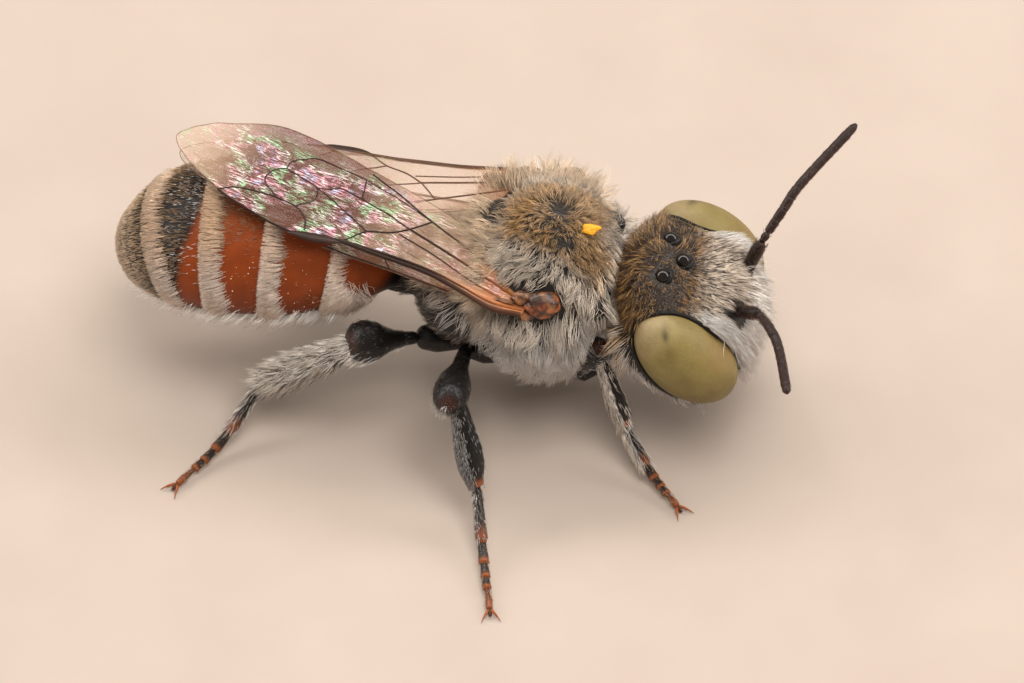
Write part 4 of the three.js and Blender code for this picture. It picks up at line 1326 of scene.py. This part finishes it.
def abdomen_band(coat, rng, k):
    """The pale band along one segment's hind margin, broader and looser low on the side."""
    margin, breadth = MARGINS[k + 1], (0.3, 0.36, 0.37, 0.34)[k]
    first = k == 0

    def keep(x, out, up):
        ragged = 0.07 * wobble(np.stack([x * 2, 6 * out, 6 * up], 1), 1.0)
        wide = breadth + (0.55 if first else 0.12) * smoothstep(-up, -0.5, 0.5) + ragged
        thin = 1 - 0.5 * smoothstep(-up, 0.55, 0.9)
        fade = smoothstep(margin + wide - x, -0.06, 0.16)
        return fade * thin * (x > margin + 0.006) * np.where(x > margin + breadth, 0.42, 0.9)

    (p, n, lie, unwrap), x, out, up = abdomen_roots(
        rng, (margin, margin + (1.05 if first else 0.62)), (25000, 17500, 18000, 14500)[k], keep)
    tint = mix(CREAM, colour(226, 188, 148), smoothstep(up, 0.2, 0.9) * (0.3, 0.4, 0.8, 0.6)[k])
    front = smoothstep(x - margin, breadth - 0.1, breadth + 0.3)
    drop = 0.25 * smoothstep(out**2, 0.2, 0.9) + 0.9 * front
    length = np.minimum(0.21 + 0.07 * rng.random(len(x)) + 0.1 * front, (x - margin) + 0.05)
    coat.grow(rng, (p + n * 0.004, n, lie, unwrap), length, tint, 0.82 if first else 0.62, width=0.0115,
              lift=(22 + 12 * front, 8 + 14 * front), lock=5, clump=0.5, spread=6, sink=0.004, droop=drop,
              mixed=0.22)


def abdomen_coat():
    """Close-lying pale bands along the hind margins, dark down on the tail and a white fringe below."""
    rng = np.random.default_rng(7)
    for name, segments in {"abdomen_bands_front": (0, 1), "abdomen_bands_rear": (2, 3)}.items():
        bands = Tufts()
        for k in segments:
            abdomen_band(bands, rng, k)
        bands.piece(name, hair, "abdomen_red")
    cover = Tufts()

    def hairs(x_range, count, keep, length, look, root, lie=None, **style):
        roots, x, _, up = abdomen_roots(rng, x_range, count, keep)
        if lie is not None:
            roots[2] = lie
        cover.grow(rng, roots, length, look(x, up), root, **style)

    def tail_tint(x, up):
        gold = smoothstep(-x, 5.6, 6.5) * smoothstep(up, 0.1, 0.7)
        tint = mix(colour(130, 102, 74), colour(190, 158, 112), gold * (0.4 + 0.6 * rng.random(len(x))))
        return mix(tint, colour(222, 194, 166), 0.85 * smoothstep(-x, 6.3, 6.75))

    hairs((-7.09, -5.2), 9500, lambda x, out, up: smoothstep(-x + 0.4 * up, 5.9, 6.2) * (up > -0.6), 0.12,
          tail_tint, 0.8, lift=(34, 14), width=0.0115, sink=0.006)

    def glint_keep(x, _, up):
        near_band = bump(x, MARGINS[3] - 0.14, 0.4) * smoothstep(up, 0.35, 0.6)
        return np.where(x < MARGINS[4], 0.08, 0.1) + 0.9 * near_band

    # painted highlight: these short hairs are white on the fourth segment's front, standing for glints on its
    # dark hair; elsewhere brown with some random white
    def glint_tint(x, _):
        white = smoothstep(-x, 5.4, 5.6) * (1 - smoothstep(-x, 6.0, 6.2)) + rng.random(len(x)) * 0.2
        return mix(colour(150, 108, 78), WHITE_HAIR, white)

    hairs((-6.9, -2.75), 9000, glint_keep, 0.08, glint_tint, 0.75, lift=(24, 10), width=0.009, sink=0.006)
    hairs((-5.6, -4.3), 5200, lambda x, out, up: smoothstep(up, 0.62, 0.9) * smoothstep(-x, 4.4, 4.9), 0.11,
          lambda x, up: mix(colour(120, 90, 58), colour(200, 166, 126), rng.random(len(x))), 0.6,
          lift=(30, 14), width=0.0085, sink=0.006)
    hairs((-7.05, -2.8), 7600, lambda x, out, up: bump(up, -0.6, 0.42) * np.where(x > -3.2, 0.2, 1.0), 0.44,
          lambda x, up: WHITE_HAIR, 0.9, lift=(40, 34), width=0.0125, lock=8, clump=0.7, sink=0.01, droop=0.5)
    hairs((-3.36, -2.95), 2600, lambda x, out, up: bump(up, -0.02, 0.46), 0.36, lambda x, up: CREAM, 0.6,
          lie=X * 0.35 - Z, lift=(30, 6), width=0.011, rings=3, lock=9, spread=26, curl=0.08, sink=0.01)
    hairs((-7.1, -6.7), 3200, lambda x, out, up: np.ones(len(x)), 0.1,
          lambda x, up: mix(GREY_HAIR, TAN_HAIR, smoothstep(up, -0.2, 0.6)), 0.6,
          lift=(40, 24), width=0.01, lock=4, clump=0.4, sink=0.01)
    cover.piece("abdomen_coat", hair, "abdomen_dark")


# ---- the coat of head and thorax -----------------------------------------------------------------
WHORL = np.array([0.2, 0.0, 4.2])  # the middle of the back, which the hair runs away from


def thorax_lie(p):
    """Away from the middle of the back on top, down and back along the sides."""
    away = p - WHORL
    swirl = np.cross(unit(away * [1, 1, 0] + 1e-6), Z)
    away = unit(away * [1, 1, 0.3]) + 0.9 * wobble(p, 3.2, 4.0)[:, None] * swirl
    down = np.array([-0.45, 0, -1.0]) + 0.8 * wobble(p, 3.4)[:, None] * X
    low_side = smoothstep(3.15 - p[:, 2], -0.3, 0.4)
    rear = smoothstep(-p[:, 0], 0.9, 1.5)
    lie = away * (1 - low_side)[:, None] + down * low_side[:, None]
    return lie * (1 - rear)[:, None] + np.array([-1.0, 0, -0.35]) * rear[:, None]


BARE_SPOTS = (  # centre, reach and how bare
    ((0.18, 0.12, 4.2), (0.22, 0.15, 0.4), 0.8), ((0.42, -0.5, 4.02), (0.22, 0.16, 0.4), 0.8),
    ((0.3, -0.2, 4.12), (0.12, 0.3, 0.4), 0.6), ((0.02, -0.3, 4.15), (0.12, 0.2, 0.4), 0.55),
    ((-0.72, 0.7, 3.72), (0.3, 0.24, 0.4), 1.7), ((-0.84, 0.2, 3.9), (0.2, 0.34, 0.4), 1.5),
    ((0.36, -1.3, 3.7), (0.24, 0.16, 0.2), 1.9), ((0.62, -1.32, 3.35), (0.18, 0.2, 0.24), 1.2),
    ((0.7, 0.5, 3.85), (0.14, 0.3, 0.3), 0.6),
)


def bare(p):
    """The share of the coat left at places that show bare shell."""
    left = np.ones(len(p))
    for centre, reach, depth in BARE_SPOTS:
        left = left - depth * np.exp(-(((p - centre) / reach) ** 2).sum(1))
    return np.clip(left, 0, 1)


def thorax_length(p):
    x, height = p[:, 0], p[:, 2] - THORAX_CENTRE[2]
    top = smoothstep(height, 0.75, 1.2)
    length = lerp(0.62, 0.34, top)
    length = length + 0.03 * smoothstep(-x, 0.45, 0.95) * smoothstep(height, 0.3, 0.7)
    length = length + 0.1 * smoothstep(-x, 0.7, 1.1) * (1 - smoothstep(height, 0.2, 0.5))
    length = length - 0.1 * smoothstep(-x, 0.6, 1.0) * smoothstep(height, 0.2, 0.5) * (1 - top)
    return length * (1 - 0.42 * smoothstep(x, 0.6, 1.05))


WING_ROOTS = (((0.14, 1.5, 3.42), (0.34, 0.3, 0.31)), ((-0.4, 1.5, 3.42), (0.42, 0.24, 0.17)))


def clear_of_wings(points):
    """Whether points keep out of the wings' roots and the shoulder plates."""
    free = np.ones(len(points), bool)
    for side in SIDES.values():
        for centre, half in WING_ROOTS:
            q = (points * [1, side, 1] - centre) / half
            free &= (q * q).sum(1) > 1
    return free


def disc_share(p):
    """1 on the back's golden middle, whose hair is short and fine, 0 on the rest of the thorax."""
    edge = np.abs(p[:, 1]) - 0.35 * (p[:, 0] - 0.2) + 0.1 * wobble(p, 2.6)
    back = smoothstep(p[:, 2], 3.4, 3.6) * smoothstep(p[:, 0], -0.8, -0.6) * (p[:, 0] < 1.3)
    return (1 - smoothstep(edge, 0.7, 0.95)) * back


def disc_tint(rng, p):
    dark = (rng.random(len(p)) < 0.38)[:, None]
    return thorax_tint(p) * np.where(dark, 0.3, 1.08)


SILKY = {"lock": 24, "clump": 0.9, "width": 0.0135}
SHAGGY = {"lock": 10, "clump": 0.8, "width": 0.0125}
BEHIND = -0.62  # x from which the coat is the rear pieces'
THORAX_COATS = {  # each piece's part of the thorax, its hairs per square millimetre, and how they gather
    "thorax_coat_back": (lambda x, y, z: (z > 3.45) & (x > BEHIND), 1000, SHAGGY),
    "thorax_coat_rear": (lambda x, y, z: (z > 2.9) & (x <= BEHIND), 1500, {**SHAGGY, "clump": 0.66}),
    "thorax_coat_right": (lambda x, y, z: (y < 0) & (z <= 3.45) & (x > BEHIND), 500, SILKY),
    "thorax_coat_left": (lambda x, y, z: (y >= 0) & (z <= 3.45) & (x > BEHIND), 500, SILKY),
    "propodeum_coat": (lambda x, y, z: (z <= 2.9) & (x <= BEHIND) & (x > -1.9) & (z > 2.01 - 0.5 * x),
                       420, SILKY),
}


def thorax_coat():
    """Short fine gold on the back, long cream behind it and silky white locks down the sides."""
    for number, (name, (region, density, gather)) in enumerate(THORAX_COATS.items()):
        rng = np.random.default_rng(100 + number)
        coat = Tufts()

        def hairs(per_mm2, keep, look, **style):
            p, n = body.scatter(rng, per_mm2, keep)
            roots = p, n, thorax_lie(p), round_unwrap(p, THORAX_CENTRE)
            coat.grow(rng, roots, **look(p), **style)

        def long_keep(p, n):
            wanted = region(*p.T) & ~on_head_share(p)
            return wanted * bare(p) * (1 - 0.5 * smoothstep(-n[:, 2], 0.3, 0.9)) * (1 - 0.9 * disc_share(p))

        def long_look(p):
            rear = smoothstep(-p[:, 0], 0.45, 0.9) * smoothstep(p[:, 2], 2.9, 3.3)
            far = smoothstep(p[:, 1], 0.75, 1.05) * smoothstep(p[:, 2], 3.2, 3.5)
            low_side = smoothstep(3.3 - p[:, 2], -0.1, 0.4)
            return {"length": thorax_length(p) + 0.06 * far + 0.08 * bump(p[:, 0], 0.15, 0.8) * far,
                    "tint": thorax_tint(p),
                    "root": (0.38 + 0.04 * low_side + 0.28 * np.maximum(rear, far))[:, None],
                    "lift": (34 + 14 * rear + 26 * far, 14 + 18 * rear + 34 * far)}

        hairs(density, long_keep, long_look, rings=3, spread=18, curl=0.12, clear=clear_of_wings, patchy=0.34,
              mixed=0.2, **gather)
        if name == "thorax_coat_back":
            hairs(2300, lambda p, n: (p[:, 2] > 3.4) * disc_share(p) * bare(p),
                  lambda p: {"tint": disc_tint(rng, p)}, length=0.24, root=0.34, lift=(46, 22), width=0.0105,
                  lock=9, clump=0.85, spread=30, patchy=0.34)
        if name == "propodeum_coat":
            hairs(380, lambda p, n: (p[:, 0] < BEHIND) & (p[:, 0] > -2.4) & (p[:, 2] <= 2.9),
                  lambda p: {"tint": mix(DARK_HAIR, GREY_HAIR, rng.random(len(p)) ** 3)}, length=0.2,
                  root=0.7, lift=(34, 16), width=0.01, lock=4, clump=0.5, spread=20)
        coat.piece(name, hair, "thorax_coat")


def head_lie(p):
    """Down the face in front, outwards round the ocelli, backwards and down behind the eyes."""
    a, o, f = head_local(p)
    down = DOWN_FACE + np.clip(o * 1.2, -0.3, 0.3)[:, None] * Y
    behind = 1 - smoothstep(f, -0.25, 0.15)
    top = 1 - smoothstep(a, -0.75, -0.35)
    out = unit(np.stack([a + 0.9, o * 1.4, np.zeros_like(a)], 1)) @ np.array([DOWN_FACE, Y, OFF_FACE])
    out = out + 0.6 * wobble(p, 5.0)[:, None] * (DOWN_FACE - Y)
    streaming = DOWN_FACE * 0.9 - OFF_FACE * 0.55
    lie = down * (1 - top)[:, None] + out * top[:, None]
    return lie * (1 - behind)[:, None] + streaming * behind[:, None]


def clear_of_head_parts(points):
    """Whether points keep out of the eyes, ocelli, jaws and feelers' sockets."""
    free = outside_eyes(points, 0.015)
    for at in OCELLI.values():
        free &= np.linalg.norm(points - on_head(*at), axis=1) > 0.19
    for at in ANTENNAE.values():
        free &= np.linalg.norm(points - at["socket"], axis=1) > 0.17
    for side in SIDES.values():
        for at, radius in zip(spline(jaw_line(side), 9)[2:], np.linspace(0.15, 0.07, 7)):
            free &= np.linalg.norm(points - at, axis=1) > radius
    return free


def head_bare(p):
    """The share of the head's coat left near the feelers, round the ocelli and beside the eyes' tops."""
    left = np.ones(len(p))
    a, o, f = head_local(p)
    for at in ANTENNAE.values():
        left -= 1.8 * np.exp(-((np.linalg.norm(p - at["socket"], axis=1) / 0.22) ** 2))
        sa, so, _ = head_local(np.array([at["socket"]]))
        gap = ((a - sa + 0.16) / 0.2) ** 2 + ((np.abs(o) - np.abs(so) - 0.2) / 0.09) ** 2
        left -= 1.1 * np.exp(-gap) * (f > 0)
    patch = ((a + 0.76) / 0.24) ** 2 + ((np.abs(o) - 0.84) / 0.26) ** 2
    left -= 0.95 * np.exp(-patch) * (f > 0)
    for at in OCELLI.values():
        left -= 0.8 * np.exp(-((np.linalg.norm(p - on_head(*at), axis=1) / 0.26) ** 2))
    return np.clip(left, 0, 1)


def head_coat():
    """Fine silver hair down the face, sparse gold on top, longer hair behind the eyes and on the nape."""
    rng = np.random.default_rng(21)

    def hairs(coat, per_mm2, keep, look=None, **style):
        """keep and look go by the place, and by how far it is down the face, out and off it."""
        p, n = body.scatter(rng, per_mm2, lambda p, n: on_head_share(p) * keep(p, *head_local(p)))
        roots = p, n, head_lie(p), round_unwrap(p, HEAD_CENTRE, OFF_FACE, DOWN_FACE)
        style |= look(p, *head_local(p)) if look else {}
        coat.grow(rng, roots, clear=clear_of_head_parts, **style)

    def face(p, a, f, gap):
        free = outside_eyes(p, gap) if gap else 1.0
        return ((f > 0.02) & (a > -0.6)) * free * head_bare(p)

    def face_look(p, a, o, f):
        beside = smoothstep(np.abs(o) + 0.1 * a, 0.7, 0.86) * smoothstep(a, -0.4, -0.15)
        beard = smoothstep(a, 0.4, 0.8)
        return {"length": 0.2 + 0.12 * beside + 0.06 * smoothstep(a, -0.3, 0.3) + 0.24 * beard,
                "tint": head_tint(p), "root": (0.58 - 0.16 * beside)[:, None],
                "lift": (26 + 10 * beside + 14 * beard, 12 + 12 * beside + 18 * beard)}

    coat, bristle = Tufts(), colour(70, 50, 34)
    hairs(coat, 2500, lambda p, a, o, f: face(p, a, f, 0.02), face_look, width=0.0115, lock=7, clump=0.66,
          spread=10, mixed=0.2)
    hairs(coat, 150, lambda p, a, o, f: (a < 0.5) * (np.abs(o) < 0.8) * face(p, a, f, 0), length=0.26,
          tint=bristle, root=DARK_HAIR / bristle, lift=(40, 24), width=0.018, rings=3, spread=8)
    hairs(coat, 260, lambda p, a, o, f: smoothstep(a, 0.1, 0.5) * face(p, a, f, 0.02), length=0.52,
          tint=WHITE_HAIR, root=0.7, lift=(52, 34), width=0.009, rings=3, lock=3, clump=0.4, spread=24,
          curl=0.1)
    coat.piece("head_coat_face", hair, "face_coat")

    def crown(a, f):
        return (a <= -0.5) & (f > -0.3)

    def crown_look(p, a, o, f):
        gold = (rng.random(len(p)) < 0.44)[:, None]
        return {"length": 0.18 + 0.16 * smoothstep(-f, -0.35, 0.0),
                "tint": np.where(gold, colour(190, 144, 84), colour(74, 48, 26))}

    def frost_look(p, a, o, f):
        return {"tint": mix(colour(84, 60, 40), colour(196, 170, 144), rng.random(len(p)) ** 3)}

    coat = Tufts()
    hairs(coat, 1300, lambda p, a, o, f: crown(a, f) * outside_eyes(p, 0.05) * head_bare(p), crown_look,
          root=0.36, lift=(42, 20), width=0.0105, lock=5, clump=0.75, spread=28, patchy=0.36, mixed=0.2)
    hairs(coat, 900, lambda p, a, o, f: crown(a, f) * outside_eyes(p, 0.03) * (head_bare(p) < 0.75),
          frost_look, length=0.07, root=0.7, lift=(24, 10), width=0.0075, spread=30, sink=0.006)
    coat.piece("head_coat_crown", hair, "face_coat")

    def cheek_look(p, a, o, f):
        dark = rng.random(len(p)) < 0.2
        tint = mix(head_tint(p), GOLD_HAIR, (rng.random(len(p)) < 0.4) * smoothstep(-a, 0.3, 0.8))
        nape = smoothstep(-a, 0.3, 0.7)
        return {"length": 0.3 + 0.2 * smoothstep(a, 0.0, 0.7) + 0.16 * nape,
                "tint": np.where(dark[:, None], DARK_HAIR, tint), "lift": (24 + 26 * nape, 12 + 24 * nape)}

    coat = Tufts()
    hairs(coat, 620, lambda p, a, o, f: ((f <= 0.02) & (a > -0.5) | (f <= -0.3)) * outside_eyes(p, 0.05),
          cheek_look, root=0.46, width=0.013, lock=14, clump=0.9, spread=14, patchy=0.25)
    coat.piece("head_coat_cheeks", hair, "face_coat")


CRUMBS = 70


def pollen_fleck():
    """One orange fleck on the back's coat, and pale crumbs on the abdomen's red."""
    d, faces = ball(3)
    x, y, z = d.T
    around = np.arctan2(y, x)
    outline = 1 + 0.12 * wobble(d, 5.0) + 0.2 * np.cos(3 * around - 0.7) + 0.12 * np.cos(5 * around)
    flat = np.c_[x * (0.15 - 0.05 * y), y * 0.1 + 0.05 * x * np.abs(x), z * 0.04] * outline[:, None]
    tilt = unit(np.array([[1.0, 0, -0.2], [0, 1.0, 0.3], [0.2, -0.3, 1.0]]))
    fleck = Shape().add(np.array([0.756, -0.18, 4.045]) + flat @ tilt, faces, colour(214, 150, 22))
    fleck.piece("pollen_fleck", pollen, "thorax_coat")
    rng = np.random.default_rng(5)
    crumbs, (d, faces) = Shape(), ball(1)
    x = rng.uniform(-5.5, -3.7, CRUMBS)
    turn = -rng.uniform(-0.9, 0.6, CRUMBS) + math.pi * (rng.random(CRUMBS) < 0.8)
    for centre, size in zip(abdomen_ring(x, turn, 0.01), rng.uniform(0.006, 0.017, CRUMBS)):
        crumbs.add(centre + d * size * rng.uniform(0.6, 1.3, 3), faces, colour(222, 190, 152))
    crumbs.piece("pollen_crumbs", pollen, "abdomen_red")


# ---- studio --------------------------------------------------------------------------------------
VIEW_AZIMUTH = math.radians(9)
VIEW_ELEVATION = math.radians(46)
FRAME_WIDTH = 17.07  # mm across the view
LENS = 800.0  # mm
SENSOR = 36.0  # mm across
LOOK_RIGHT, LOOK_UP = -0.583, 0.725  # mm from the thorax's foot to the view's middle


def camera():
    right, up, back = view_axes()
    data = bpy.data.cameras.new("camera")
    data.lens, data.sensor_width = LENS, SENSOR
    data.clip_start, data.clip_end = 0.01, 10
    cam = show(bpy.data.objects.new("camera", data))
    # the view's width is measured at the depth of the thorax's middle
    target = right * LOOK_RIGHT + up * LOOK_UP + back * (THORAX_CENTRE @ back)
    cam.location = place(target + back * (FRAME_WIDTH * LENS / SENSOR))
    aim(cam, -back)
    bpy.context.scene.camera = cam


def aim(obj, way):
    """Turns a camera or lamp to look along a direction."""
    obj.rotation_mode = "QUATERNION"
    obj.rotation_quaternion = Vector(way).to_track_quat("-Z", "Y")


def area_light(name, at, size, watts, tone):
    """A square soft lamp at a place in metres, turned to the bee."""
    data = bpy.data.lights.new(name, "AREA")
    data.shape, data.size, data.energy, data.color = "SQUARE", size, watts, tone
    obj = show(bpy.data.objects.new(name, data))
    obj.location = at
    aim(obj, Vector((0, 0, 0.002)) - Vector(at))
    return obj


def view_axes():
    """The view's right, up and towards the viewer, in the bee's frame."""
    right = np.array([math.cos(VIEW_AZIMUTH), math.sin(VIEW_AZIMUTH), 0])
    back = np.array([math.sin(VIEW_AZIMUTH) * math.cos(VIEW_ELEVATION),
                     -math.cos(VIEW_AZIMUTH) * math.cos(VIEW_ELEVATION), math.sin(VIEW_ELEVATION)])
    return right, np.cross(back, right), back


FLOOR_HALF = 0.18  # metres
ARC_LAMPS = 9
ARC_OFF_VIEW = math.radians(74)  # from the line of sight to each lamp of the arc


def studio():
    mesh = bpy.data.meshes.new("floor")
    corners = np.array([(-1, -1, 0), (1, -1, 0), (1, 1, 0), (-1, 1, 0)]) * FLOOR_HALF
    mesh.from_pydata(corners, [], [(0, 1, 2, 3)])
    mesh.materials.append(floor_material())
    show(bpy.data.objects.new("floor", mesh))
    world = bpy.data.worlds.new("studio")
    world.use_nodes = True
    world.node_tree.nodes["Background"].inputs["Color"].default_value = (1.0, 0.9, 0.81, 1)
    world.node_tree.nodes["Background"].inputs["Strength"].default_value = 0.4
    bpy.context.scene.world = world
    right, up, back = view_axes()
    for k, turn in enumerate(np.radians(np.linspace(15, 165, ARC_LAMPS))):
        across = right * math.cos(turn) + up * math.sin(turn)
        way = back * math.cos(ARC_OFF_VIEW) + math.sin(ARC_OFF_VIEW) * across
        area_light(f"arc_{k}", way * 0.16, 0.045, 0.044, (1.0, 0.97, 0.93))
    front = area_light("front", back * 0.15 + right * 0.02 + up * 0.07, 0.1, 0.3, (1.0, 0.98, 0.95))
    front.visible_glossy = False
    bpy.context.scene.view_settings.view_transform = "Standard"


# ---- all together --------------------------------------------------------------------------------
studio()
camera()
body_skin()
eyes()
ocelli()
mandibles()
antennae()
legs()
wings()
tegulae()
abdomen()
abdomen_coat()
thorax_coat()
head_coat()
pollen_fleck()
